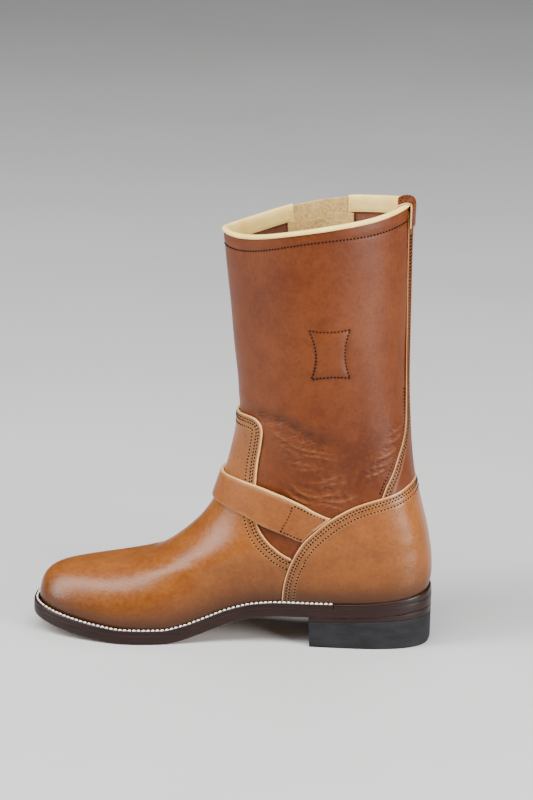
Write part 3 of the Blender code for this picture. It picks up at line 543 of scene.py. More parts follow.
def binding_leather(name, pale, deep):
    f = Finish(name)
    cloud = f.noise(70.0, 5.0, 0.6)
    grain = f.cells(1100.0, 'SMOOTH_F1')
    colour = f.mix(f.span(cloud, 0.32, 0.68), deep, pale)
    colour = f.mix(f.span(f.noise(420.0, 4.0, 0.6), 0.58, 0.8, 0.0, 0.25), colour, deep)
    normal = f.bump(grain, 0.2, 0.0002, f.bump(f.noise(240.0, 4.0), 0.2, 0.0004))
    return f.finish(colour, f.span(cloud, 0.3, 0.7, 0.46, 0.6), normal, Coat_Weight=0.08,
                    Coat_Roughness=0.35)


def burnished_sole(name, dark, worn):
    """Waxed sole edge: stacked layers and small nicks."""
    f = Finish(name)
    layers = f.noise(60.0, 5.0, 0.6, f.stretched((0.5, 0.5, 18.0)))
    cloud = f.noise(38.0, 5.0, 0.6)
    nicks = f.noise(640.0, 4.0, 0.7, f.stretched((0.3, 0.3, 1.0)))
    colour = f.mix(f.span(layers, 0.35, 0.7, 0.0, 0.75), dark, worn)
    colour = f.mix(f.span(cloud, 0.5, 0.75, 0.0, 0.35), colour, worn)
    colour = f.mix(f.span(nicks, 0.66, 0.82, 0.0, 0.4), colour, tuple(1.6 * c for c in worn))
    normal = f.bump(layers, 0.18, 0.0005, f.bump(nicks, 0.25, 0.0003))
    return f.finish(colour, f.span(cloud, 0.3, 0.7, 0.34, 0.48), normal, Coat_Weight=0.05,
                    Coat_Roughness=0.25, Specular_IOR_Level=0.22)


def heel_compound(name, dark, pale):
    """Moulded rubber: fine speckle and scuffs."""
    f = Finish(name)
    speck = f.noise(1300.0, 3.0, 0.7)
    scuff = f.noise(75.0, 6.0, 0.7, f.stretched((0.6, 0.6, 2.2)))
    colour = f.mix(f.span(scuff, 0.42, 0.72, 0.0, 0.7), dark, pale)
    colour = f.mix(f.span(speck, 0.6, 0.8, 0.0, 0.35), colour, pale)
    normal = f.bump(speck, 0.25, 0.0002, f.bump(scuff, 0.12, 0.0006))
    return f.finish(colour, f.span(scuff, 0.3, 0.7, 0.62, 0.8), normal, Specular_IOR_Level=0.15)


def waxed_thread(name, dark, pale):
    """Twisted thread with a little wax."""
    f = Finish(name)
    twist = f.noise(1500.0, 2.0, 0.5, f.stretched((1.0, 1.0, 1.6)))
    colour = f.mix(f.span(twist, 0.38, 0.62), dark, pale)
    return f.finish(colour, f.span(twist, 0.3, 0.7, 0.6, 0.8), f.bump(twist, 0.4, 0.0002),
                    Specular_IOR_Level=0.1)


def satin_steel(name):
    f = Finish(name)
    brush = f.noise(700.0, 4.0, 0.6, f.stretched((1.0, 1.0, 0.15)))
    cloud = f.noise(120.0, 4.0, 0.6)
    colour = f.mix(f.span(cloud, 0.35, 0.7), (0.50, 0.49, 0.47), (0.68, 0.67, 0.64))
    normal = f.bump(brush, 0.08, 0.0001)
    return f.finish(colour, f.span(brush, 0.3, 0.7, 0.2, 0.34), normal, Metallic=1.0)


def studio_floor(name):
    f = Finish(name)
    cloud = f.noise(2.2, 4.0, 0.5)
    colour = f.mix(f.span(cloud, 0.35, 0.7), (0.54, 0.537, 0.53), (0.57, 0.567, 0.56))
    normal = f.bump(f.noise(320.0, 3.0, 0.5), 0.05, 0.0004)
    return f.finish(colour, f.span(cloud, 0.3, 0.7, 0.5, 0.6), normal)


SHAFT = smooth_leather("shaft_leather_finish", (0.072, 0.0146, 0.0024), (0.103, 0.0226, 0.0040),
                       (0.145, 0.0366, 0.0076), 0.40, 0.19, 0.0)
VAMP = smooth_leather("vamp_leather_finish", (0.150, 0.0392, 0.0054), (0.214, 0.0632, 0.0092),
                      (0.280, 0.0940, 0.0165), 0.32, 0.32, 0.95)
STRAP = smooth_leather("strap_leather_finish", (0.142, 0.0360, 0.0056), (0.202, 0.0580, 0.0096),
                       (0.265, 0.0870, 0.0170), 0.34, 0.28, 0.0)
LINING = napped_leather("lining_finish", (0.110, 0.030, 0.014), (0.250, 0.088, 0.044), 700.0)
FLESH = napped_leather("flesh_side_finish", (0.26, 0.14, 0.07), (0.42, 0.25, 0.13), 800.0)
SUEDE = napped_leather("suede_finish", (0.34, 0.19, 0.050), (0.78, 0.52, 0.190), 560.0)
RAW = raw_edge("raw_edge_finish", (0.77, 0.49, 0.235), (0.59, 0.325, 0.122))
BINDING = binding_leather("binding_finish", (0.95, 0.71, 0.235), (0.83, 0.55, 0.135))
INSOLE = binding_leather("insole_finish", (0.46, 0.29, 0.16), (0.34, 0.19, 0.095))
SOLE_EDGE = burnished_sole("sole_edge_finish", (0.0085, 0.0030, 0.0022), (0.024, 0.0088, 0.0062))
SOLE_UNDER = burnished_sole("sole_underside_finish", (0.17, 0.085, 0.040), (0.27, 0.15, 0.075))
RUBBER = heel_compound("heel_rubber_finish", (0.0115, 0.0115, 0.0125), (0.029, 0.029, 0.031))
DARK_THREAD = waxed_thread("dark_thread_finish", (0.0022, 0.0009, 0.0008), (0.008, 0.0030, 0.0024))
WHITE_THREAD = waxed_thread("welt_thread_finish", (0.60, 0.54, 0.47), (0.93, 0.90, 0.85))
CREAM_THREAD = waxed_thread("cream_thread_finish", (0.42, 0.27, 0.10), (0.70, 0.50, 0.23))
STEEL = satin_steel("buckle_steel_finish")


# Making of pieces
def single_out(piece):
    bpy.ops.object.select_all(action='DESELECT')
    piece.select_set(True)
    bpy.context.view_layer.objects.active = piece


def discard(piece):
    mesh = piece.data
    bpy.data.objects.remove(piece, do_unlink=True)
    bpy.data.meshes.remove(mesh)


def settle(piece, looks, nodes=(), sharp=38.0):
    """Materials, shading and place in the model of a finished piece."""
    for look in looks[len(piece.data.materials):]:
        piece.data.materials.append(look)
    single_out(piece)
    bpy.ops.object.shade_smooth_by_angle(angle=math.radians(sharp))
    piece.select_set(False)
    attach(piece, "root")
    if nodes:
        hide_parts(*nodes)
    return piece


def apply_all(piece):
    bpy.context.view_layer.objects.active = piece
    for step in list(piece.modifiers):
        bpy.ops.object.modifier_apply(modifier=step.name)


def sheet_of_leather(name, outer, thickness, looks, nodes, notes=None, thin=None,
                     weld=False, round_edge=0.3):
    """Grid laid over the last and thickened inward.

    outer is rows by columns of points, seen from outside with the columns running left.
    looks are those of the outer face, the inner face and the cut edge.
    notes are values for the material, and thin scales the thickness from point to point.
    round_edge is the rounding of the cut edges, and 0 leaves them square.
    """
    rows, columns = outer.shape[:2]
    bpy.ops.mesh.primitive_grid_add(x_subdivisions=columns - 1, y_subdivisions=rows - 1, size=2.0)
    piece = bpy.context.object
    piece.name = name
    mesh = piece.data
    flat = np.empty(len(mesh.vertices) * 3)
    mesh.vertices.foreach_get("co", flat)
    flat = flat.reshape(-1, 3)
    column = np.rint((flat[:, 0] + 1) / 2 * (columns - 1)).astype(int)
    row = np.rint((flat[:, 1] + 1) / 2 * (rows - 1)).astype(int)
    mesh.vertices.foreach_set("co", (outer[row, column] * MM).ravel())
    for key, values in (notes or {}).items():
        layer = mesh.attributes.new(key, 'FLOAT', 'POINT')
        layer.data.foreach_set("value", values[row, column].astype(np.float32))
    if thin is not None:
        group = piece.vertex_groups.new(name="thickness")
        share = np.round(thin[row, column], 2)
        for value in np.unique(share):
            group.add(np.nonzero(share == value)[0].tolist(), float(value), 'REPLACE')
    for look in looks:
        mesh.materials.append(look)
    bpy.ops.object.mode_set(mode='EDIT')
    bpy.ops.mesh.select_all(action='SELECT')
    if weld:
        bpy.ops.mesh.remove_doubles(threshold=0.00003)
    bpy.ops.mesh.flip_normals()
    bpy.ops.object.mode_set(mode='OBJECT')
    wall = piece.modifiers.new("wall", 'SOLIDIFY')
    wall.thickness = thickness * MM
    wall.offset = -1.0
    wall.material_offset = 1
    wall.material_offset_rim = 2
    if thin is not None:
        wall.vertex_group = "thickness"
    if round_edge:
        soft = piece.modifiers.new("soft_edge", 'BEVEL')
        soft.width = round_edge * MM
        soft.segments = 2
        soft.limit_method = 'ANGLE'
        soft.angle_limit = math.radians(55)
        soft.use_clamp_overlap = False
    apply_all(piece)
    return settle(piece, looks, nodes)


def from_points(name, points, faces):
    mesh = bpy.data.meshes.new(name)
    mesh.from_pydata(np.asarray(points) * MM, [], faces)
    piece = bpy.data.objects.new(name, mesh)
    bpy.context.scene.collection.objects.link(piece)
    return piece


def outward(piece):
    """Faces of a closed piece turned to point outward."""
    single_out(piece)
    bpy.ops.object.mode_set(mode='EDIT')
    bpy.ops.mesh.select_all(action='SELECT')
    bpy.ops.mesh.remove_doubles(threshold=0.000005)
    bpy.ops.mesh.normals_make_consistent(inside=False)
    bpy.ops.object.mode_set(mode='OBJECT')
    return piece


def sweep(name, sections, closed=False):
    """Closed piece along a row of sections, each the same number of points."""
    count, sides = sections.shape[:2]
    faces = []
    for k in range(count if closed else count - 1):
        n = (k + 1) % count
        for s in range(sides):
            t = (s + 1) % sides
            faces.append((k * sides + s, k * sides + t, n * sides + t, n * sides + s))
    if not closed:
        faces.append(tuple(range(sides - 1, -1, -1)))
        faces.append(tuple((count - 1) * sides + s for s in range(sides)))
    return outward(from_points(name, sections.reshape(-1, 3), faces))


def one_stitch():
    """A single stitch, modelled once: a plump thread with both ends drawn down."""
    bpy.ops.mesh.primitive_uv_sphere_add(segments=6, ring_count=6, radius=0.5)
    model = bpy.context.object
    bpy.ops.object.mode_set(mode='EDIT')
    bpy.ops.mesh.select_all(action='SELECT')
    bpy.ops.transform.rotate(value=math.pi / 2, orient_axis='Y', center_override=(0, 0, 0))
    bpy.ops.object.mode_set(mode='OBJECT')
    points = np.array([v.co for v in model.data.vertices])
    points[:, 2] -= 0.5 * (2 * points[:, 0]) ** 4 * 0.7
    faces = [tuple(p.vertices) for p in model.data.polygons]
    discard(model)
    return points, faces


STITCH_POINTS, STITCH_FACES = one_stitch()


def stitches(name, rows, look, length=1.65, thick=1.3, lift=0.1, pitch=PITCH, slant=7.0):
    """Rows of stitches in one mesh: each row is points and normals along a path."""
    points, faces = [], []
    base = 0
    for number, (path, normal) in enumerate(rows):
        run = arc_length(path)
        start = pitch * (0.25 + 0.5 * (number % 2))
        for at in np.arange(start, run[-1] - pitch * 0.2, pitch):
            at = at + chance.normal(0, 0.05)
            here = np.array([np.interp(at, run, path[:, k]) for k in range(3)])
            ahead = np.array([np.interp(at + 0.4, run, path[:, k])
                              - np.interp(at - 0.4, run, path[:, k]) for k in range(3)])
            up = np.array([np.interp(at, run, normal[:, k]) for k in range(3)])
            up /= np.linalg.norm(up)
            ahead -= up * (ahead @ up)
            ahead /= np.linalg.norm(ahead)
            side = np.cross(up, ahead)
            turn = math.radians(slant + chance.normal(0, 2.0))
            along = math.cos(turn) * ahead + math.sin(turn) * side
            side = np.cross(up, along)
            size = length * (1 + chance.normal(0, 0.04))
            shape = (STITCH_POINTS[:, :1] * size * along + STITCH_POINTS[:, 1:2] * thick * side
                     + (STITCH_POINTS[:, 2:] * thick + lift) * up + here)
            points.append(shape)
            faces += [tuple(base + i for i in face) for face in STITCH_FACES]
            base += len(shape)
    piece = from_points(name, np.concatenate(points), faces)
    return settle(piece, [look], sharp=80.0)


def on_skin(ring, angle, depth):
    """A stitch path with its normals, at a depth off the skin."""
    return offset(ring, angle, depth), skin_frame(ring, angle)[0]


def mirrored(path):
    """The same path on the outer side of the foot."""
    return path[0], 360.0 - path[1]


def both_sides(path, turn):
    """A path up one side and back down the other, where the angles are turn less its own."""
    return (np.concatenate((path[0], path[0][-2::-1])),
            np.concatenate((path[1], turn - path[1][-2::-1])))


# Creases of the ankle on the inner side: depth, width, and points in the side view.
# A negative depth is a ridge.
CREASES = (
    (2.3, 5.6, ((-101.6, 176.4), (-86.8, 178.1), (-73.4, 176.8), (-61.7, 173.5), (-52.0, 168.3),
                (-42.4, 164.1), (-34.1, 161.9), (-25.9, 160.4))),
    (-0.36, 1.15, ((-78.0, 171.5), (-69.5, 172.9), (-59.6, 169.6), (-52.0, 166.4), (-42.5, 161.7))),
    (0.36, 1.1, ((-72.0, 169.0), (-62.0, 166.4), (-53.0, 163.0), (-44.0, 160.0), (-33.0, 158.6))),
    (-0.36, 1.1, ((-64.6, 167.6), (-55.8, 163.8), (-47.2, 160.9), (-36.9, 158.3), (-27.7, 157.2))),
    (0.34, 1.0, ((-63.0, 162.0), (-53.0, 159.0), (-43.0, 157.3), (-31.0, 155.8))),
    (-0.32, 1.1, ((-59.9, 159.4), (-50.1, 156.4), (-40.7, 155.1), (-30.5, 153.3))),
    (0.26, 1.1, ((-58.0, 156.2), (-48.0, 153.9), (-38.5, 153.0), (-27.0, 150.4))),
    (-0.26, 1.1, ((-55.9, 153.9), (-46.3, 151.8), (-36.9, 151.2), (-25.9, 148.1))),
    (-0.28, 1.1, ((-73.5, 166.3), (-66.6, 163.6), (-57.8, 158.8))),
    (0.24, 1.2, ((-70.0, 162.8), (-62.0, 158.4), (-54.0, 155.6))),
    (-0.22, 1.1, ((-70.0, 158.6), (-61.0, 154.6), (-52.0, 149.4))),
    (0.24, 1.3, ((-68.0, 148.0), (-56.0, 147.3), (-44.0, 147.2))),
    (-0.22, 1.2, ((-63.8, 145.7), (-52.2, 144.6), (-40.9, 144.1))),
    (-0.18, 1.2, ((-58.0, 140.2), (-46.0, 140.6), (-34.0, 142.6))),
    (0.50, 1.7, ((-62.5, 126.0), (-56.5, 120.5), (-48.5, 117.2), (-41.0, 116.6))),
    (-0.36, 1.2, ((-64.0, 123.6), (-58.2, 118.2), (-50.5, 114.9), (-42.9, 114.3))),
    (-0.34, 1.2, ((-60.1, 128.2), (-52.5, 121.9), (-42.8, 119.5), (-33.6, 120.7), (-24.3, 123.7))),
    (0.48, 1.8, ((-57.0, 131.0), (-48.0, 126.8), (-37.0, 125.6), (-24.0, 128.8))),
    (-0.30, 1.1, ((-48.6, 111.0), (-39.1, 113.5), (-28.0, 111.6), (-21.6, 109.4))),
    (0.26, 1.0, ((-46.0, 113.0), (-37.0, 115.2), (-27.0, 113.6), (-19.0, 112.2))),
    (-0.30, 1.1, ((-41.1, 116.6), (-30.8, 115.6), (-20.6, 116.5), (-11.5, 120.3))),
    (0.30, 1.2, ((-36.0, 118.4), (-27.0, 118.2), (-17.0, 120.2))),
    (-0.26, 1.2, ((-52.5, 124.8), (-42.8, 125.1), (-31.7, 128.3), (-18.9, 130.7))),
    (-0.20, 1.1, ((-50.0, 130.6), (-40.0, 131.0), (-30.0, 133.6), (-20.0, 137.0))),
    (-0.42, 1.15, ((1.3, 147.8), (8.3, 150.1), (14.3, 153.8))),
    (0.42, 1.3, ((-1.0, 145.0), (6.5, 146.6), (13.0, 149.6))),
    (-0.40, 1.1, ((-0.5, 141.9), (5.7, 142.9), (11.8, 145.4))),
    (-0.36, 1.1, ((9.2, 159.6), (14.3, 161.3), (17.5, 164.1))),
    (0.36, 1.2, ((6.0, 155.6), (12.5, 157.6), (17.0, 160.0))),
    (-0.30, 1.1, ((8.0, 165.4), (13.6, 167.4), (17.5, 170.0))),
    (-0.32, 1.2, ((-7.0, 134.4), (1.3, 136.9), (8.3, 140.0))),
    (0.34, 1.3, ((-9.0, 137.6), (0.5, 139.6), (8.0, 142.6))),
    (1.4, 16.0, ((-30.0, 139.0), (-18.0, 132.0), (-6.0, 128.0))))

# Worn folds lean in three ways: behind this x, ahead of it above this height, and the rest
BACK_FOLDS = -12.0
HIGH_FOLDS = 141.0

# Stitched patch on the inner side of the shaft: corners and the drawn-in middles of its sides
PATCH = ((-46.1, 248.8), (-31.5, 247.9), (-16.8, 249.0), (-20.4, 230.6), (-16.9, 212.4),
         (-31.0, 213.4), (-44.6, 211.4), (-41.0, 230.1))
PATCH_STEPS = 14


def bowed_outline(corners, steps):
    """Outline with a point at each corner and a curve through the middle of each side."""
    line = []
    rows = np.array(corners)
    for k in range(0, len(rows), 2):
        start, bow, stop = rows[k], rows[k + 1], rows[(k + 2) % len(rows)]
        pull = 2 * bow - (start + stop) / 2
        for t in np.arange(steps) / steps:
            line.append((1 - t) ** 2 * start + 2 * t * (1 - t) * pull + t * t * stop)
    return np.array(line)


def inside(points, outline):
    """Which side-view points lie inside a closed outline."""
    x, z = points[..., 0], points[..., 1]
    count = np.zeros(x.shape, int)
    for a, b in zip(outline, np.roll(outline, -1, 0)):
        if a[1] == b[1]:
            continue
        cross = (a[1] > z) != (b[1] > z)
        count += cross & (x < a[0] + (z - a[1]) * (b[0] - a[0]) / (b[1] - a[1]))
    return count % 2 == 1


def crease_relief(points, mirror):
    """Height of the creases over the smooth skin, painted shade and highlight for their troughs and
    ridges, and how worn each point is.
    """
    flat = points[..., (0, 2)].reshape(-1, 2)
    rise, fold, worn = np.zeros(len(flat)), np.zeros(len(flat)), np.zeros(len(flat))
    for depth, width, course in CREASES:
        line = smooth_line(course, 10)
        if mirror:
            line = line + (3.0, -2.5)
        low, high = line.min(0) - 3 * width - 6, line.max(0) + 3 * width + 6
        near = np.nonzero(((flat > low) & (flat < high)).all(1))[0]
        if not len(near):
            continue
        gap = np.sqrt(((flat[near][:, None, :] - line[None]) ** 2).sum(-1))
        best = gap.argmin(1)
        way = np.linspace(0.04, 0.96, len(line))
        uneven = 0.78 + 0.22 * np.sin(17.0 * way + line[:, 0] / 3.1)
        ease = (np.sin(math.pi * way) ** 0.7 * uneven)[best]
        shape = hump(gap.min(1), width) - 0.35 * hump(gap.min(1) - 1.9 * width, 0.9 * width)
        rise[near] -= depth * ease * shape
        if width < 9:
            strength = min(2.0 * abs(depth), 0.9)
            # Troughs get painted shade and ridges painted highlight
            fold[near] -= np.sign(depth) * ease * hump(gap.min(1), 0.8 * width) * strength
            worn[near] = np.maximum(worn[near], ease * hump(gap.min(1), 5.0))
    shape = points.shape[:-1]
    return rise.reshape(shape), fold.reshape(shape), worn.reshape(shape)


def gentle(points, size=0.35):
    """Slight unevenness of hand lasted leather."""
    x, y, z = points[..., 0] / 23.0, points[..., 1] / 19.0, points[..., 2] / 27.0
    wave = (np.sin(x + 1.7 * np.sin(0.6 * z + 0.4) + y) * np.sin(z * 0.9 + 0.5 * x)
            + 0.6 * np.sin(1.9 * x - 1.3 * z + 1.1) * np.cos(0.8 * y + 0.3))
    return size * wave


# Upper: shaft and foot in one hollow wall, open at the slit
def make_shaft():
    # Columns stand closer together on the back half of the inner side, closest at its creases
    weight_angle = np.linspace(0, 360, 3601)
    weight = 1 + 0.9 * ((weight_angle > 58) & (weight_angle < 100)) + 0.5 * (weight_angle < 58)
    weight = np.interp((weight_angle + SLIT_ANGLE) % 360, weight_angle, weight)
    turn = by_weight(214, weight_angle / 360, weight)
    rings = np.concatenate((np.linspace(0, 8, 24)[:-1], np.linspace(8, 12.2, 30)[:-1],
                            np.linspace(12.2, 16, 66)[:-1], np.linspace(16, 17.5, 46)[:-1],
                            np.linspace(17.5, 18.6, 22)[:-1], np.linspace(18.6, 19, 14)))
    rim = skin(float(TOP), SLIT_ANGLE)
    down = np.linalg.norm(skin(rings, SLIT_ANGLE) - rim, axis=1)
    up = np.clip(SLIT_DEPTH - down, 0, None)
    half_mm = np.where(up > 0, 3.0 * np.sqrt(np.clip(up / 4.0, 0, 1)) + 18.0 * up / SLIT_DEPTH, 0)
    half = np.degrees(half_mm / SLIT_RADIUS)
    angle = SLIT_ANGLE + half[:, None] + (360 - 2 * half[:, None]) * turn[None, :]
    ring = np.repeat(rings[:, None], len(turn), 1)
    base = skin(ring, angle)
    inner_side = base[..., 1] < middle(base[..., 0])
    near, far = crease_relief(base, False), crease_relief(base, True)
    depth, fold, worn = [np.where(inner_side, a, b) for a, b in zip(near, far)]
    upward = np.clip((ring - 12.0) / 3.0, 0, 1)
    depth = depth + gentle(base, 0.42) * upward * np.clip((TOP - ring) / 1.2, 0, 1)
    outline = bowed_outline(PATCH, PATCH_STEPS)
    side_view = base[..., (0, 2)]
    edge = nearest(side_view, bowed_outline(PATCH, 40))
    within = inside(side_view, outline) & inner_side
    near_patch = inner_side & (edge < 8)
    puff = 0.85 * (1 - np.exp(-edge / 3.2))
    depth = np.where(within, depth + puff, depth)
    depth = np.where(near_patch, depth - 0.42 * hump(edge, 1.3), depth)
    # Painted shade along the patch's stitched groove
    fold = np.where(near_patch, fold - 0.35 * hump(edge, 1.2), fold)
    below = (ring - rim_row(angle)) * RIM_STEP
    depth = depth - 0.28 * hump(below, 1.0) + 0.2 * hump(below - 4.5, 3.0)
    point = offset(ring, angle, depth)
    at_back = base[..., 0] > BACK_FOLDS
    worn_back = np.where(at_back, worn, 0)
    worn_front = np.where(~at_back & (base[..., 2] > HIGH_FOLDS), worn, 0)
    notes = {"fold": fold, "worn_front": worn_front, "worn_back": worn_back,
             "worn_low": worn - worn_front - worn_back}
    sheet_of_leather("shaft_panel", point, WALL, [SHAFT, LINING, RAW], ["upper"],
                     notes, weld=True)

    turn = np.linspace(SLIT_ANGLE - 360 + 19.0, SLIT_ANGLE - 19.0, 700)
    turn = turn[np.abs(turn) > 13.6]
    rows = []
    for part in (turn[turn < 0], turn[turn > 0]):
        rows.append(on_skin(rim_row(part), part, -0.1))
    stitches("rim_stitches", rows, DARK_THREAD)
    rows = []
    for k in range(4):
        start, stop = PATCH_STEPS * k, PATCH_STEPS * (k + 1)
        side = np.concatenate((outline[start:stop], outline[[stop % len(outline)]]))
        at = np.linspace(0, PATCH_STEPS, 120)
        fine = np.stack([np.interp(at, np.arange(len(side)), side[:, c]) for c in (0, 1)], 1)
        rows.append(on_skin(*locate(fine[:, 0], fine[:, 1]), -0.15))
    stitches("patch_stitches", rows, DARK_THREAD, length=1.8, thick=1.35)


def rim_row(angle):
    """Ring of the stitch row below the collar."""
    fold = 180.0 - np.abs(180.0 - np.asarray(angle) % 360)
    return 18.755 + 0.06 * hump(fold - 90.0, 30.0)


# Heel counter, vamp and back strip
def counter_edge(steps):
    line = smooth_line(COUNTER_EDGE, steps)
    ring, angle = locate(line[:, 0], line[:, 1])
    stop = int(np.argmax(angle < 1.0))
    ring, angle = ring[:stop + 1], angle[:stop + 1].copy()
    angle[-1] = 0.0
    return ring, angle


def vamp_edge():
    """Edge tucked under the counter, then the vamp's own edge to the front of the tab."""
    line = smooth_line(COUNTER_EDGE, EDGE_STEPS)
    ahead = np.array([(x + 1.3, z - 0.45) for x, z in line if z < MEET_TOP])
    own = smooth_line(VAMP_EDGE, EDGE_STEPS)
    own = own[own[:, 0] < ahead[-1, 0] - 0.3]
    joined = np.concatenate((ahead, own))
    ring, angle = locate(joined[:, 0], joined[:, 1])
    stop = int(np.argmax(angle > 179.0)) if (angle > 179.0).any() else len(angle) - 1
    ring, angle = ring[:stop + 1], angle[:stop + 1].copy()
    angle[-1] = 180.0
    return ring, angle, len(ahead), joined[:stop + 1]


def seam_relief(distance):
    """Height of leather beside a stitched edge: skived edge, sunk rows, plump between them."""
    height = -0.30 * hump(distance, 0.8)
    for row in SEAM_ROWS:
        height = height - 0.26 * hump(distance - row, 0.62)
    return height + 0.16 * hump(distance - 6.8, 1.3) + 0.10 * hump(distance - 1.6, 0.7)


def rub_and_sheen_of(distance):
    """How far the finish is rubbed off at a cut edge, with painted highlights beside the stitch
    rows, at a distance in from the edge.
    """
    return (0.88 * hump(distance, 0.7) + 0.15 * hump(distance - 3.85, 1.6)
            + 0.17 * hump(distance - 8.9, 0.9))


def near_welt(points):
    """How close leather is to the welt, where painted shade darkens it."""
    rise = np.clip(points[..., 2] - sole_top(points[..., 0]) - GAP - WELT_T, 0, None)
    return 0.60 * hump(rise, 14.0) + 0.40 * hump(rise, 36.0)


def make_counter():
    ring, angle = counter_edge(EDGE_STEPS)
    corner = int(np.argmax(ring > COUNTER_CORNER))
    side = ring[:corner + 1], angle[:corner + 1]
    left = side[0], -side[1]
    high = both_sides((ring[corner:], -angle[corner:]), 0.0)
    low = np.zeros(200), np.linspace(-side[1][0], side[1][0], 200)
    grid = four_sided(left, side, low, high, crowd(190, 2.4, 2.4), crowd(96, 0.0, 3.0))
    fine = counter_edge(FINE_STEPS)
    whole = both_sides((fine[0], -fine[1]), 0.0)
    line = offset(*even(*whole, np.linspace(0, 1, 900)), OUTSIDE)
    base = offset(*grid, OUTSIDE)
    gap = nearest(base, line)
    depth = OUTSIDE + seam_relief(gap) + gentle(base, 0.14) * np.clip(gap / 12 - 0.6, 0, 1)
    sheet_of_leather("heel_counter", offset(*grid, depth), OVERLAY - 0.1, [VAMP, FLESH, RAW],
                     ["counter"], {"rub_and_sheen": rub_and_sheen_of(gap), "low": near_welt(base)},
                     round_edge=0.0)
    rows = []
    for distance in SEAM_ROWS:
        row = seam_row(*even(*whole, np.linspace(0.004, 0.996, 1200)), -distance)
        rows.append(on_skin(*row, SEAM_DEPTH))
    stitches("counter_stitches", rows, DARK_THREAD)


def make_vamp():
    ring, angle, butt, outline = vamp_edge()
    corner = int(np.argmax((outline[:, 1] > TAB_HEIGHT) & (outline[:, 0] < TAB_CORNER)))
    side = ring[:corner + 1], angle[:corner + 1]
    high = both_sides((ring[corner:], angle[corner:]), 360.0)
    low = np.zeros(400), np.linspace(side[1][0], 360 - side[1][0], 400)
    grid = four_sided(side, mirrored(side), low, high, crowd(216, 2.2, 2.2), crowd(176, 0.0, 2.0))
    own = ring[butt:], angle[butt:]
    seam = both_sides(own, 360.0)
    line = offset(*even(*seam, np.linspace(0, 1, 1400)), OUTSIDE)
    base = offset(*grid, OUTSIDE)
    gap = nearest(base, line)
    front = ring[:butt], angle[:butt]
    meet = np.concatenate((offset(*front, OUTSIDE), offset(*mirrored(front), OUTSIDE)))
    tuck = nearest(base, meet)
    relief = seam_relief(gap) * (1 - hump(tuck, 2.0))
    depth = OUTSIDE + relief - 1.85 * hump(tuck, 2.6)
    depth = depth + gentle(base, 0.12) * np.clip(gap / 12 - 0.6, 0, 1) * np.clip(grid[0] / 4, 0, 1)
    free = np.clip(gap / 14 - 0.7, 0, 1) * np.clip(tuck / 10 - 0.4, 0, 1)
    free = free * np.clip(grid[0] / 2, 0, 1)
    taut = drawn_tight(base, 0.8 * free, TAUT_ROUNDS) - base
    depth = depth + (taut * skin_frame(*grid)[0]).sum(-1)
    thin = np.clip((depth - GAP - 0.05) / OVERLAY, 0.3, 1.0)
    # Painted shade: the tab darkens with height, and leather near the welt darkens
    shade = np.clip((base[..., 2] - SHADE_FROM) / SHADE_RISE, 0, 1)
    painted_shade = near_welt(base) + 0.22 * shade
    sheet_of_leather("vamp_panel", offset(*grid, depth), OVERLAY - 0.05, [VAMP, FLESH, RAW],
                     ["vamp"], {"rub_and_sheen": rub_and_sheen_of(gap), "low": painted_shade},
                     thin=thin, round_edge=0.0)
    # The rows run on to the counter's edge, so the path starts a little way under it
    first = own[0][0] - 4 * (own[0][4] - own[0][0]), own[1][0] - 4 * (own[1][4] - own[1][0])
    half = np.concatenate(((first[0],), own[0])), np.concatenate(((first[1],), own[1]))
    path = both_sides(half, 360.0)
    cover = smooth_line(COUNTER_EDGE, EDGE_STEPS)
    cover = np.concatenate((cover, ((60.0, 135.0), (60.0, 0.0))))
    rows = []
    for distance in SEAM_ROWS:
        row = seam_row(*even(*path, np.linspace(0.0, 1.0, 2000)), -distance)
        clear = ~inside(skin(*row)[:, (0, 2)] + (0.8, 0.0), cover)
        rows.append(on_skin(row[0][clear], row[1][clear], SEAM_DEPTH))
    stitches("vamp_stitches", rows, DARK_THREAD)


# Back strip: half width in degrees at each ring, and the ring of its foot at each angle
STRIP_REACH = np.array(((12.6, 44.3), (13.2, 40.6), (13.8, 33.9), (14.4, 26.9), (14.9, 18.5),
                        (15.4, 10.8), (16.1, 8.0), (17.1, 9.0), (19.0, 13.0)))
STRIP_FOOT = np.array(((-1.0, 12.73), (0.0, 12.73), (8.5, 12.70), (17.0, 12.60), (25.0, 12.46),
                       (33.0, 12.31), (40.0, 12.21), (46.0, 12.13), (60.0, 11.88)))


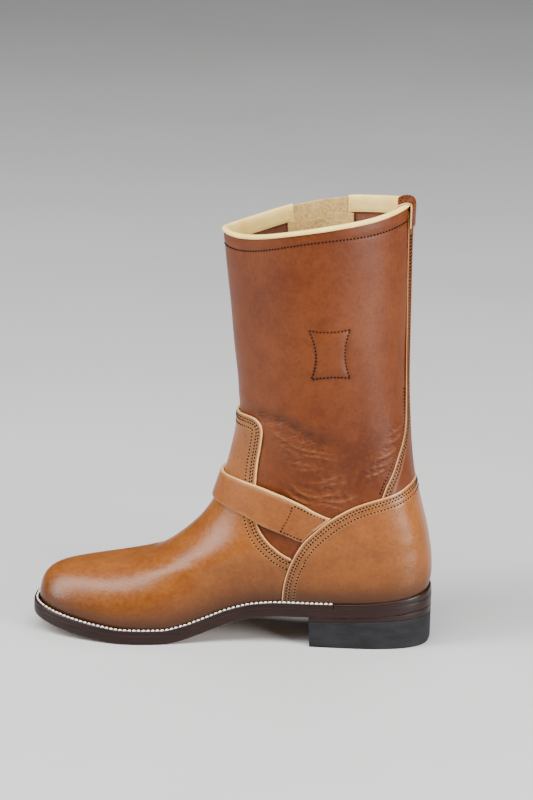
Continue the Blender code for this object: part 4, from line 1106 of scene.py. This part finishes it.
def make_back_strip():
    first, last = STRIP_REACH[0, 0], TOP - 0.1
    lift = np.linspace(0, 1, 170)[:, None] ** 1.25
    side = (2 * crowd(61, 1.6, 1.6) - 1)[None, :]
    width = smooth_table(first + lift * (last - first), STRIP_REACH)
    angle = side * width
    start = smooth_table(np.abs(side * 44.0), STRIP_FOOT)
    ring = start + lift * (last - start)
    base = offset(ring, angle, 1.6)
    gap = np.minimum(np.linalg.norm(base - base[:, :1], axis=-1),
                     np.linalg.norm(base - base[:, -1:], axis=-1))
    spine = np.linalg.norm(base - base[:, 30:31], axis=-1)
    skive = np.clip((ring - 14.2) / 2.2, 0, 1)
    depth = 1.45 - (0.25 + 0.5 * skive) * hump(gap, 0.8 + 1.6 * skive) + 0.55 * hump(spine, 1.7)
    for row in STRIP_ROWS:
        depth = depth - 0.2 * hump(gap - row, 0.6)
    thin = np.clip(1.0 - 0.62 * skive * hump(gap, 3.0), 0.3, 1.0)
    rub_and_sheen = rub_and_sheen_of(gap) * (1 - 0.75 * skive) + (0.2 + 0.25 * skive) * hump(spine, 0.9)
    sheet_of_leather("back_stay", offset(ring, angle, depth), 1.0, [SHAFT, FLESH, RAW],
                     ["back_strip"], {"rub_and_sheen": rub_and_sheen}, thin=thin, round_edge=0.0)
    rows = []
    for way, column in ((-1, 0), (1, -1)):
        edge = ring[4:-6, column], angle[4:-6, column]
        for distance in STRIP_ROWS:
            row = seam_row(*even(*edge, np.linspace(0.0, 0.985, 900)), way * distance)
            keep = np.abs(row[1]) > 2.4
            rows.append(on_skin(row[0][keep], row[1][keep], 1.2))
        outer = seam_row(*even(*edge, np.linspace(0.0, 0.42, 300)), -way * 2.3)
        rows.append(on_skin(*outer, -0.05))
    stitches("back_strip_stitches", rows, DARK_THREAD)


# Collar: binding with its facing, tab and gusset
def rim_sections(profile, angles):
    """One profile carried round the collar: depth off the skin, height over the rim."""
    rim = skin(float(TOP), angles)
    normal, up = skin_frame(float(TOP), angles)
    return np.stack([rim + normal * d + up * h for d, h in profile], 1)


def make_binding():
    first, last = SLIT_ANGLE + BINDING_STOP - 360, SLIT_ANGLE - BINDING_STOP
    angles = np.linspace(first, last, 300)
    inner = -WALL - GAP
    bead = [(-0.95 + 2.05 * math.cos(t), 1.15 + 1.9 * math.sin(t))
            for t in np.radians(np.linspace(-48, 160, 16))]
    profile = [(0.25, -0.3)] + bead + [(inner - 1.05, -1.2), (inner - 1.0, -4.0),
                                       (inner - 1.12, -7.5), (inner - 1.1, -FACING_DEPTH + 1.0),
                                       (inner - 0.9, -FACING_DEPTH), (inner - 0.1, -FACING_DEPTH),
                                       (inner - 0.05, -6.0), (inner - 0.02, 0.25), (0.25, 0.25)]
    sections = rim_sections(profile, angles)
    piece = sweep("rim_binding", sections)
    settle(piece, [BINDING], ["collar_binding"], 50.0)
    rim = skin(float(TOP), angles)
    normal, up = skin_frame(float(TOP), angles)
    path = rim + normal * (inner - 0.98) - up * (FACING_DEPTH - 2.2)
    rows = [(path[2:-2], -normal[2:-2])]
    for end in (0, -1):
        start = rim[end] + normal[end] * (inner - 1.1)
        step = np.linspace(1.6, FACING_DEPTH - 1.4, 40)[:, None]
        inward = (rim[1] - rim[0]) if end == 0 else (rim[-2] - rim[-1])
        inward = inward / np.linalg.norm(inward) * 2.0
        rows.append((start - up[end] * step + inward, np.repeat(-normal[end][None], 40, 0)))
    stitches("facing_stitches", rows, CREAM_THREAD, length=1.7, thick=0.6)


def make_tab():
    outer, inner = 2.0, -3.6
    spine = [(outer, -16.0), (outer, -10.0), (outer + 0.15, -4.0), (outer, 0.6), (1.3, 2.6),
             (-0.2, 3.35), (-1.4, 3.4), (-2.8, 2.8), (inner - 0.1, 1.2), (inner, -4.0),
             (inner, -10.0), (inner, -15.0)]
    line = smooth_line(spine, 5)
    ahead = unit(np.gradient(line, axis=0))
    out = np.stack((ahead[:, 1], -ahead[:, 0]), 1)
    if out[0, 0] < 0:
        out = -out
    share = 2 * crowd(33, 1.2, 1.2) - 1
    spread = np.interp(np.arange(len(line)) / (len(line) - 1), (0.0, 0.3, 0.7, 1.0),
                       (14.0, 14.0, 28.7, 28.7))
    grid, edges = [], []
    for (d, h), o, reach in zip(line, out, spread):
        rim = skin(float(TOP), share * reach)
        normal, up = skin_frame(float(TOP), share * reach)
        width = np.abs(rim[:, 1] - rim[16, 1])
        edge = width[-1] - width
        lift = (1.15 - 0.22 * hump(edge, 0.7) - 0.16 * hump(edge - 2.2, 0.6))[:, None]
        grid.append(rim + normal * (d + o[0] * lift) + up * (h + o[1] * lift))
        edges.append(edge)
    grid, gap = np.array(grid), np.array(edges)
    sheet_of_leather("pull_tab", grid, 1.05, [SHAFT, FLESH, RAW],
                     ["collar_tab"], {"rub_and_sheen": 0.85 * hump(gap, 0.7)}, round_edge=0.25)
    rows = []
    for k in (5, 27):
        face = np.cross(np.gradient(grid[:, k], axis=0), grid[:, k + 1] - grid[:, k - 1])
        rows.append((grid[1:-1, k], unit(face[1:-1])))
    stitches("tab_stitches", rows, DARK_THREAD, length=1.5, thick=0.6)


def make_gusset():
    inner = -WALL - GAP
    foot, shoulder, neck = 17.25, 18.735, 18.76
    narrow = BINDING_STOP + 0.05
    spread = np.array(((foot, 19.0), (17.6, 20.6), (18.0, 22.0), (shoulder, 22.0),
                       (neck, narrow), (float(TOP), narrow)))
    ring = np.concatenate((np.linspace(foot, shoulder, 56), np.linspace(neck, TOP, 24)))
    reach = np.interp(ring, spread[:, 0], spread[:, 1])
    side = np.linspace(-1, 1, 70)[None, :]
    angle = SLIT_ANGLE + side * reach[:, None]
    ring = np.repeat(ring[:, None], 70, 1)
    share = np.clip((ring - foot) / (TOP - foot), 0, 1)
    sink = 0.55 * hump(side, 0.55) * share + 0.16 * np.sin(9 * side + 3 * share) * share
    depth = inner - 0.36 - sink * 0.8
    point = offset(ring, angle, depth)
    above = np.clip((ring - 18.7) / (TOP - 18.7), 0, 1)[..., None]
    point = point + GUSSET_RISE * above * skin_frame(float(TOP), angle)[1]
    sheet_of_leather("slit_gusset", point, 1.2, [SUEDE, SUEDE, SUEDE],
                     ["gusset"])


# Straps and buckles
class Band:
    """Flat coordinates on a strap's path: mm along it, mm across it, mm off the skin."""

    def __init__(self, table, zero_angle):
        self.table = table
        self.angles = np.linspace(30.0, 330.0, 500)
        low, high = self.edges(self.angles)
        line = offset((low + high) / 2, self.angles, 2.5)
        length = arc_length(line)
        self.along = length - np.interp(zero_angle, self.angles, length)

    def edges(self, angles):
        fold = 180.0 - np.abs(180.0 - angles)
        return (smooth_table(fold, self.table[:, (0, 1)]),
                smooth_table(fold, self.table[:, (0, 2)]))

    def point(self, along, across, depth):
        along, across, depth = np.broadcast_arrays(along, across, depth)
        angle = np.interp(along, self.along, self.angles)
        low, high = self.edges(angle)
        ring = (low + high) / 2 + across / STRAP_HALF * (high - low) / 2
        return offset(ring, angle, depth)


def strap_sheet(name, band, line, thickness, halves, slant, look, node, holes=()):
    """Strap from its inner line of (along, depth), with plump sides and cut edges."""
    line = np.array(line, float)
    halves = np.array(halves, float)
    run = arc_length(line)
    fine = np.linspace(0, run[-1], int(run[-1] / 0.9) + 2)
    inner = np.stack([smooth_table(fine, np.stack((run, line[:, k]), 1)) for k in (0, 1)], 1)
    half = smooth_table(fine, np.stack((run, halves), 1))
    course = unit(np.gradient(inner, axis=0))
    thick = thickness(fine)
    outer = inner + np.stack((-course[:, 1], course[:, 0]), 1) * thick[:, None]
    share = (2 * crowd(45, 1.6, 1.6) - 1)[:, None]
    across = share * half[None, :]
    gap = (1 - np.abs(share)) * half[None, :]
    relief = -0.28 * hump(gap, 0.8) - 0.10 * hump(gap - 1.7, 0.5) + 0.22 * (1 - share ** 2)
    fade = np.clip(1 - fine / 9.0, 0, 1)[None, :]
    shift = fade * (slant[0] * across + slant[1] * across ** 2)
    grid = band.point(outer[None, :, 0] + shift, across, outer[None, :, 1] + relief)
    ends = np.minimum(fine, fine[-1] - fine)[None, :] + 0 * gap
    # Painted shade: the lower edge keeps only a quarter of the upper edge's paleness
    lit_upper_edge = np.where(share > 0, 1.0, 0.25)
    rub_and_sheen = lit_upper_edge * (0.85 * hump(np.minimum(gap, ends), 0.8) + 0.12 * hump(gap - 1.7, 1.0))
    thin = np.repeat(np.clip(thick / thick.max(), 0.2, 1)[None, :], len(share), 0)
    piece = sheet_of_leather(name, grid, float(thick.max()), [look, FLESH, RAW],
                             [node], {"rub_and_sheen": rub_and_sheen}, thin=thin)
    for number, (at, depth) in enumerate(holes):
        centre = Vector(band.point(at, 0.0, depth) * MM)
        outside = Vector(band.point(at, 0.0, depth + 1.0) * MM) - centre
        bpy.ops.mesh.primitive_cylinder_add(vertices=20, radius=1.9 * MM, depth=14 * MM,
                                            location=centre,
                                            rotation=outside.to_track_quat('Z', 'Y').to_euler())
        punch = bpy.context.object
        step = piece.modifiers.new("hole_%d" % number, 'BOOLEAN')
        step.object = punch
        step.operation = 'DIFFERENCE'
        step.solver = 'EXACT'
        bpy.ops.object.select_all(action='DESELECT')
        apply_all(piece)
        discard(punch)
    return piece


def arc(centre, radius, first, last, steps):
    t = np.radians(np.linspace(first, last, steps))
    return [(centre[0] + radius * math.cos(v), centre[1] + radius * math.sin(v)) for v in t]


def wire_section(count):
    return np.radians(np.arange(count) * 360.0 / count)


def make_buckle(name, band, front, rear, chape_end, slant):
    """Roller buckle on a strap: chape folded round the rear bar, frame, roller and prong."""
    lower = rear[1] - HUG - CHAPE_T
    flat = [(chape_end, 0.45), (rear[0] + 5.5, lower + 0.05), (rear[0] + 3, lower)]
    turn = (-90, -270, 22)
    inner = flat + arc(rear, HUG + CHAPE_T, *turn)
    inner += [(rear[0] + 3, rear[1] + HUG + CHAPE_T), (rear[0] + 4.5, rear[1] + HUG + CHAPE_T)]
    outer = [(a, d + CHAPE_T) for a, d in flat] + arc(rear, HUG, *turn)
    outer += [(rear[0] + 3, rear[1] + HUG), (rear[0] + 4.5, rear[1] + HUG)]
    inner, outer = np.array(inner), np.array(outer)
    sections = []
    half = STRAP_HALF - 0.2
    rim = ((-half, 0.25), (-half + 0.35, 0.0), (0.0, 0.0), (half - 0.35, 0.0), (half, 0.25),
           (half, 0.75), (half - 0.35, 1.0), (0.0, 1.0), (-half + 0.35, 1.0), (-half, 0.75))
    for k in range(len(inner)):
        fade = 1.0 if k == 0 else 0.0
        row = []
        for across, share in rim:
            along, depth = inner[k] + (outer[k] - inner[k]) * share
            along = along + fade * (slant[0] * across + slant[1] * across ** 2)
            row.append(band.point(along, across, depth))
        sections.append(row)
    chape = sweep(name + "_chape_leather", np.array(sections))
    settle(chape, [STRAP], [name + "_chape"])

    half = STRAP_HALF + 2.7
    corner = 4.0
    path = []
    for a0, b0, first in ((rear[0] - corner, half - corner, 0),
                          (front[0] + corner, half - corner, 90),
                          (front[0] + corner, corner - half, 180),
                          (rear[0] - corner, corner - half, 270)):
        path += arc((a0, b0), corner, first, first + 90, 8)
        bar = path[-1]
        if first in (90, 270):
            path += [(bar[0], bar[1] * s) for s in np.linspace(0.8, -0.8, 9)]
    path = np.array(path)
    share = (path[:, 0] - rear[0]) / (front[0] - rear[0])
    height = rear[1] + (front[1] - rear[1]) * share
    ahead = unit(np.roll(path, -1, 0) - np.roll(path, 1, 0))
    side = np.stack((ahead[:, 1], -ahead[:, 0]), 1)
    sections = np.stack([band.point(path[:, 0] + WIRE * math.cos(v) * side[:, 0],
                                    path[:, 1] + WIRE * math.cos(v) * side[:, 1],
                                    height + WIRE * math.sin(v)) for v in wire_section(14)], 1)
    loop = sweep(name + "_frame_wire", sections, closed=True)
    settle(loop, [STEEL], [name + "_buckle"], 60.0)

    # Roller: a sleeve with rolled ends
    reach = STRAP_HALF - 1.0
    profile = [(-reach + 0.4, ROLLER_BORE), (-reach, ROLLER_BORE + 0.3),
               (-reach, ROLLER_OUT - 0.35), (-reach + 0.35, ROLLER_OUT)]
    profile += [(b, ROLLER_OUT) for b in np.linspace(-reach * 0.8, reach * 0.8, 7)]
    profile += [(reach - 0.35, ROLLER_OUT), (reach, ROLLER_OUT - 0.35),
                (reach, ROLLER_BORE + 0.3), (reach - 0.4, ROLLER_BORE)]
    sections = np.stack([np.stack([band.point(front[0] + r * math.cos(v), b,
                                              front[1] + r * math.sin(v)) for b, r in profile])
                         for v in wire_section(28)])
    sleeve = sweep(name + "_roller_sleeve", sections, closed=True)
    settle(sleeve, [STEEL], [name + "_roller"], 40.0)

    # Prong: hooked round the rear bar, through the strap's hole, down on the roller
    crown = front[1] + ROLLER_OUT + GAP
    bend = ((rear[0] - 6.0, rear[1] + HUG, PRONG_T),
            ((rear[0] + front[0]) / 2 - 1.3, (rear[1] + HUG + crown) / 2, PRONG_T),
            (front[0] + 3.4, crown, PRONG_T * 0.9), (front[0] - 2.2, crown - 0.2, PRONG_T * 0.6))
    inner = np.array(arc(rear, HUG, -130, 90, 18) + [(a, d) for a, d, t in bend])
    outer = np.array(arc(rear, HUG + PRONG_T, -130, 90, 18) + [(a, d + t) for a, d, t in bend])
    sections = []
    for k in range(len(inner)):
        mid, reach = (inner[k] + outer[k]) / 2, (outer[k] - inner[k]) / 2
        row = []
        for v in wire_section(12):
            along, depth = mid + reach * np.sign(math.sin(v)) * abs(math.sin(v)) ** 0.7
            across = 1.35 * np.sign(math.cos(v)) * abs(math.cos(v)) ** 0.7
            row.append(band.point(along, across, depth))
        sections.append(row)
    pin = sweep(name + "_prong_pin", np.array(sections))
    settle(pin, [STEEL], [name + "_prong"], 50.0)


def long_strap(name, band, first, front, rear, tip, base, slant, sewn, holes):
    """Strap from its sewn end, under the roller, over the rear bar, to its free tip."""
    under = front[1] - ROLLER_OUT - GAP - STRAP_T
    over = rear[1] + HUG + CHAPE_T + GAP + 0.1
    marks = [(first, base(first)), (first + 4, base(first + 4))]
    marks += [(a, base(a)) for a in np.arange(first + 9, front[0] - 13, 4.4)]
    marks += [(front[0] - 7, under + 0.1), (front[0] - 3, under), (front[0] + 3, under),
              (front[0] + 6.5, under + 0.6), (rear[0] - 10.5, over - 1.8), (rear[0] - 7, over),
              (rear[0] + 3, over), (rear[0] + 7, over)]
    marks += [(rear[0] + 12, tip[1] + 0.65 * (over - tip[1])),
              (rear[0] + 17, tip[1] + 0.2 * (over - tip[1])),
              (tip[0] - 5, tip[1]), (tip[0] - 2, tip[1]), (tip[0], tip[1])]
    halves = np.full(len(marks), STRAP_HALF)
    halves[-3:] = (STRAP_HALF * 0.94, STRAP_HALF * 0.75, STRAP_HALF * 0.45)

    def thickness(run):
        return STRAP_T - sewn * hump(run, SEWN_RUN)

    punched = [((front[0] + rear[0]) / 2 - 0.6, (under + over) / 2 + 1.2)]
    punched += [(a, tip[1] + 2) for a in holes]
    return strap_sheet(name + "_leather", band, marks, thickness, halves, slant, STRAP, name,
                       punched)


def sewn_row(band, base, first, sewn, sink, start, stop, count):
    """Row of stitches on a strap, from start to stop, each given as mm along and across."""
    along = np.linspace(start[0], stop[0], count)
    across = np.linspace(start[1], stop[1], count)
    depth = base(along) + STRAP_T - sewn * hump(along - first, SEWN_RUN) - sink
    path = band.point(along, across, depth)
    return path, band.point(along, across, depth + 1.0) - path


def make_straps():
    instep = Band(INSTEP_BAND, 180.0)
    front, rear = (60.0, 7.9), (83.0, 4.8)

    def instep_base(a):
        # Rides on the vamp over the instep, and comes down to the shaft at its sewn end
        ease = np.clip((a + 87.4) / 24.0, 0, 1)
        return 0.5 + (OUTSIDE + 0.1) * ease * ease * (3 - 2 * ease)

    first, sewn = -98.1, 1.15
    long_strap("instep_strap", instep, first, front, rear, (112.0, 2.7), instep_base,
               (-0.46, -0.014), sewn, (101.0,))
    make_buckle("instep", instep, front, rear, 97.6, (0.46, 0.010))
    rows = []
    for start, stop in (((-76.4, -10.4), (-76.7, 10.2)), ((-76.7, 10.3), (-104.4, 10.6)),
                        ((-76.4, -10.4), (-93.4, -10.6))):
        rows.append(sewn_row(instep, instep_base, first, sewn, 0.1, start, stop, 260))
    stitches("strap_stitches", rows, DARK_THREAD, length=1.8)

    top = Band(TOP_BAND, SLIT_ANGLE)
    front, rear = (-6.0, 5.9), (16.0, 4.6)
    first, sewn = -52.0, 0.6

    def top_base(a):
        return 0.5 + 0 * a

    long_strap("top_strap", top, first, front, rear, (46.0, 2.7), top_base,
               (0.0, 0.0), sewn, (35.0,))
    make_buckle("top", top, front, rear, 40.0, (0.0, 0.0))
    box = ((-50.0, -10.0), (-50.0, 10.0), (-32.0, 10.0), (-32.0, -10.0))
    rows = []
    for start, stop in zip(box, box[1:] + box[:1]):
        rows.append(sewn_row(top, top_base, first, sewn, 0.08, start, stop, 160))
    stitches("top_strap_stitches", rows, DARK_THREAD, length=1.8)


# Sole, welt, rand, heel and insole
def sole_sides(share, margin):
    """Plan outline of a sole piece: x and the y of both edges at shares from heel to toe."""
    row = RINGS[0]
    back, front = HEEL_BACK - row[2] + margin[0], TOE + row[0] - margin[1]
    share = np.asarray(share, float)
    x = back + (front - back) * share
    widths = np.broadcast_to(row[4:9] + np.linspace(margin[2], margin[3], 5), share.shape + (5,))
    power = row[9] + (row[10] - row[9]) * share
    round_end = np.clip(2 * np.sqrt(np.clip(share * (1 - share), 0, 1)), 0, 1) ** power
    half = across_stations(share, widths) * round_end
    return x, middle(x) - half, middle(x) + half


def layered(name, plan, levels):
    """Closed piece from levels of one outline.

    plan(inset) gives x and the y of both edges, and a level is an inset and a height over x.
    """
    points, loops = [], []
    for inset, height in levels:
        x, near, far = plan(inset)
        z = height(x)
        loop = np.concatenate((np.stack((x, near, z), 1), np.stack((x, far, z), 1)[::-1]))
        loops.append(len(points))
        points += list(loop)
    count = len(loop)
    faces = []
    for a, b in zip(loops, loops[1:]):
        for k in range(count):
            n = (k + 1) % count
            faces.append((a + k, a + n, b + n, b + k))
    for start in (loops[0], loops[-1]):
        for k in range(count // 2 - 1):
            faces.append((start + k, start + k + 1, start + count - 2 - k, start + count - 1 - k))
    return outward(from_points(name, np.array(points), faces))


def raised(surface, rise):
    """Height function of a surface raised by some millimetres."""
    return lambda x: surface(x) + rise


def make_sole():
    share = (1 - np.cos(np.linspace(0, math.pi, 170))) / 2

    def outsole_plan(inset):
        return sole_sides(share, OUTSOLE_MARGIN - inset)

    levels = [(1.8, sole_bottom), (0.8, raised(sole_bottom, 0.04)),
              (0.3, raised(sole_bottom, 0.25)), (0.08, raised(sole_bottom, 0.7)),
              (0.0, raised(sole_bottom, 2.0)),
              (0.0, raised(sole_top, -0.4)), (0.06, raised(sole_top, -0.05)),
              (0.25, raised(sole_top, 0.1)), (1.2, raised(sole_top, 0.12))]
    sole = layered("outsole_leather", outsole_plan, levels)
    sole.data.materials.append(SOLE_EDGE)
    sole.data.materials.append(SOLE_UNDER)
    for face in sole.data.polygons:
        if face.normal.z < -0.75:
            face.material_index = 1
    settle(sole, [SOLE_EDGE, SOLE_UNDER], ["outsole"], 50.0)

    def insole_plan(inset):
        turn = np.degrees(np.linspace(0, math.pi, 130))
        near = offset(0.0, turn, -WALL - 0.7 - inset)
        far = offset(0.0, 360 - turn, -WALL - 0.7 - inset)
        return near[:, 0], near[:, 1], far[:, 1]

    def seat(x):
        return sole_top(x) + GAP

    sock = layered("insole_leather", insole_plan,
                   [(0.3, seat), (0.0, raised(seat, 0.5)), (0.0, raised(seat, 2.5)),
                    (0.5, raised(seat, INSOLE_T))])
    settle(sock, [INSOLE], ["insole"])

    make_welt()
    make_heel()


def rim_strip(name, angles, ring_rise, rise, node):
    """Strip on the outsole's rim, from the leather of the upper out to the sole's edge."""
    share = (1 - np.cos(np.radians(angles))) / 2
    near_side = np.sin(np.radians(angles)) > 0
    clear = OUTSIDE + GAP + 0.25

    def edge(inset):
        x, near, far = sole_sides(share, WELT_MARGIN - inset)
        return np.stack((x, np.where(near_side, near, far)), -1)

    foot = offset(0.0, angles, clear)[:, :2]
    head = offset(rise(edge(0.0)[:, 0]) / ring_rise, angles, clear)[:, :2]
    rows = []
    for plan, up in ((foot, -0.04), (edge(0.1), -0.04), (edge(0.02), 0.0), (edge(0.0), 0.1),
                     (edge(0.05), 0.66), (edge(0.25), 0.86), (edge(0.8), 0.98),
                     (edge(1.8), 1.0), ((edge(1.8) + head) / 2, 1.0), (head, 1.0)):
        height = sole_top(plan[:, 0]) + GAP + up * rise(plan[:, 0])
        rows.append(np.column_stack((plan, height)))
    piece = sweep(name, np.stack(rows, 1))
    settle(piece, [SOLE_EDGE], [node], 50.0)
    return edge, head


def make_welt():
    ends = sole_sides(np.array((0.0, 1.0)), WELT_MARGIN)[0]
    end = math.degrees(math.acos(1 - 2 * (ends[0] - WELT_END) / (ends[0] - ends[1])))
    forward = np.linspace(end, 360 - end, 420)
    edge, head = rim_strip("welt_leather", forward, 5.0, lambda x: np.full_like(x, WELT_T), "welt")
    path = edge(0.0) + (head - edge(0.0)) * np.clip(
        2.3 / np.linalg.norm(head - edge(0.0), axis=1, keepdims=True), 0, 0.6)
    top = np.column_stack((path, sole_top(path[:, 0]) + GAP + WELT_T))
    course = unit(np.gradient(top, axis=0))
    across = unit(np.column_stack((edge(0.0) - head, np.zeros(len(head)))))
    up = np.cross(course, across)
    up = up * np.sign(up[:, 2:])
    stitches("welt_stitches", [(top, up)], WHITE_THREAD, length=3.0, thick=1.5, lift=0.4,
             pitch=3.5, slant=10.0)
    backward = np.linspace(-end + 0.35, end - 0.35, 200)
    rim_strip("rand_leather", backward, 6.6,
              lambda x: 3.3 + 2.4 * np.clip((x + 5) / 45, 0, 1) ** 1.6, "heel_rand")


def make_heel():
    heel_in, toe_in = RINGS[0][2], RINGS[0][0]
    stop = HEEL_BACK - heel_in + LIFT_MARGIN[0] - HEEL_BREAST
    length = LAST_LENGTH - heel_in - toe_in + LIFT_MARGIN[0] + LIFT_MARGIN[1]
    share = stop / length * (1 - np.cos(np.linspace(0, math.pi / 2, 70)))

    def heel_plan(inset):
        x, near, far = sole_sides(share, LIFT_MARGIN - inset)
        ease = np.clip((x - HEEL_BREAST) / 3.0, 0, 1)
        return np.maximum(x, HEEL_BREAST + 0.6 * inset * (1 - ease)), near, far

    def rubber_top(x):
        return RUBBER_HEIGHT + (x - HEEL_BREAST) * RUBBER_SLOPE

    def ground(x):
        return 0.0 * x

    lift = layered("heel_lift_leather", heel_plan,
                   [(0.4, raised(rubber_top, 0.1)), (0.1, raised(rubber_top, 0.25)),
                    (0.0, raised(rubber_top, 0.6)), (0.0, raised(sole_bottom, -0.7)),
                    (0.1, raised(sole_bottom, -0.25)), (0.4, raised(sole_bottom, -0.1))])
    settle(lift, [SOLE_EDGE], ["heel_lift"], 50.0)
    block = layered("heel_rubber_block", heel_plan,
                    [(2.0, ground), (1.3, raised(ground, 0.12)), (0.9, raised(ground, 0.6)),
                     (0.75, raised(ground, 1.4)), (0.2, raised(rubber_top, -1.6)),
                     (0.12, raised(rubber_top, -0.5)), (0.3, raised(rubber_top, -0.12)),
                     (0.7, rubber_top)])
    settle(block, [RUBBER], ["heel_rubber"], 50.0)


make_shaft()
make_counter()
make_vamp()
make_back_strip()
make_binding()
make_tab()
make_gusset()
make_straps()
make_sole()

# Floor, lights and camera
bpy.ops.mesh.primitive_plane_add(size=14.0)
floor = bpy.context.object
floor.name = "studio_floor"
floor.data.materials.append(studio_floor("floor_finish"))


def soft_light(name, place, aim, size, power, colour=(1.0, 1.0, 1.0)):
    lamp = bpy.data.lights.new(name, 'AREA')
    lamp.shape = 'RECTANGLE'
    lamp.size, lamp.size_y = size
    lamp.energy = power
    lamp.color = colour
    holder = bpy.data.objects.new(name, lamp)
    bpy.context.scene.collection.objects.link(holder)
    holder.location = place
    holder.rotation_euler = (Vector(aim) - Vector(place)).to_track_quat('-Z', 'Y').to_euler()


soft_light("top_softbox", (0.0, -0.80, 2.0), (-0.06, 0.0, 0.12), (2.2, 0.8), 59.0)
soft_light("left_window", (-1.45, -0.62, 1.15), (-0.1, 0.0, 0.1), (0.64, 1.9), 57.0)
soft_light("right_softbox", (1.5, -1.0, 0.6), (0.0, 0.0, 0.15), (0.8, 1.1), 66.0)
soft_light("back_softbox", (0.1, 1.0, 1.9), (0.0, 0.0, 0.2), (1.6, 0.7), 16.0)

world = bpy.data.worlds.new("studio")
bpy.context.scene.world = world
world.use_nodes = True
world.node_tree.nodes["Background"].inputs[0].default_value = (0.80, 0.82, 0.85, 1.0)
world.node_tree.nodes["Background"].inputs[1].default_value = 0.12

# Camera: 3 m away, 17.5 degrees up and 8 degrees toward the heel
DISTANCE = 3000.0
SCALE = 1.3356            # pixels to a millimetre at that distance
WIDE, TALL = 533, 800
ORIGIN = (377.0, 634.5)   # pixel of the point on the floor under the heel
SENSOR = 36.0
elevation, turn = math.radians(17.5), math.radians(8.0)
back = np.array((math.sin(turn) * math.cos(elevation), -math.cos(turn) * math.cos(elevation),
                 math.sin(elevation)))
right = np.array((math.cos(turn), math.sin(turn), 0.0))
up = np.cross(back, right)
place = right * (WIDE / 2 - ORIGIN[0]) / SCALE + up * (ORIGIN[1] - TALL / 2) / SCALE
place = place + back * DISTANCE
lens = bpy.data.cameras.new("photo_camera")
lens.sensor_width = SENSOR
lens.lens = SCALE * DISTANCE / TALL * SENSOR
lens.clip_end = 50.0
camera = bpy.data.objects.new("photo_camera", lens)
bpy.context.scene.collection.objects.link(camera)
camera.matrix_world = Matrix([[right[k], up[k], back[k], place[k] * MM] for k in range(3)]
                             + [[0, 0, 0, 1]])
bpy.context.scene.camera = camera
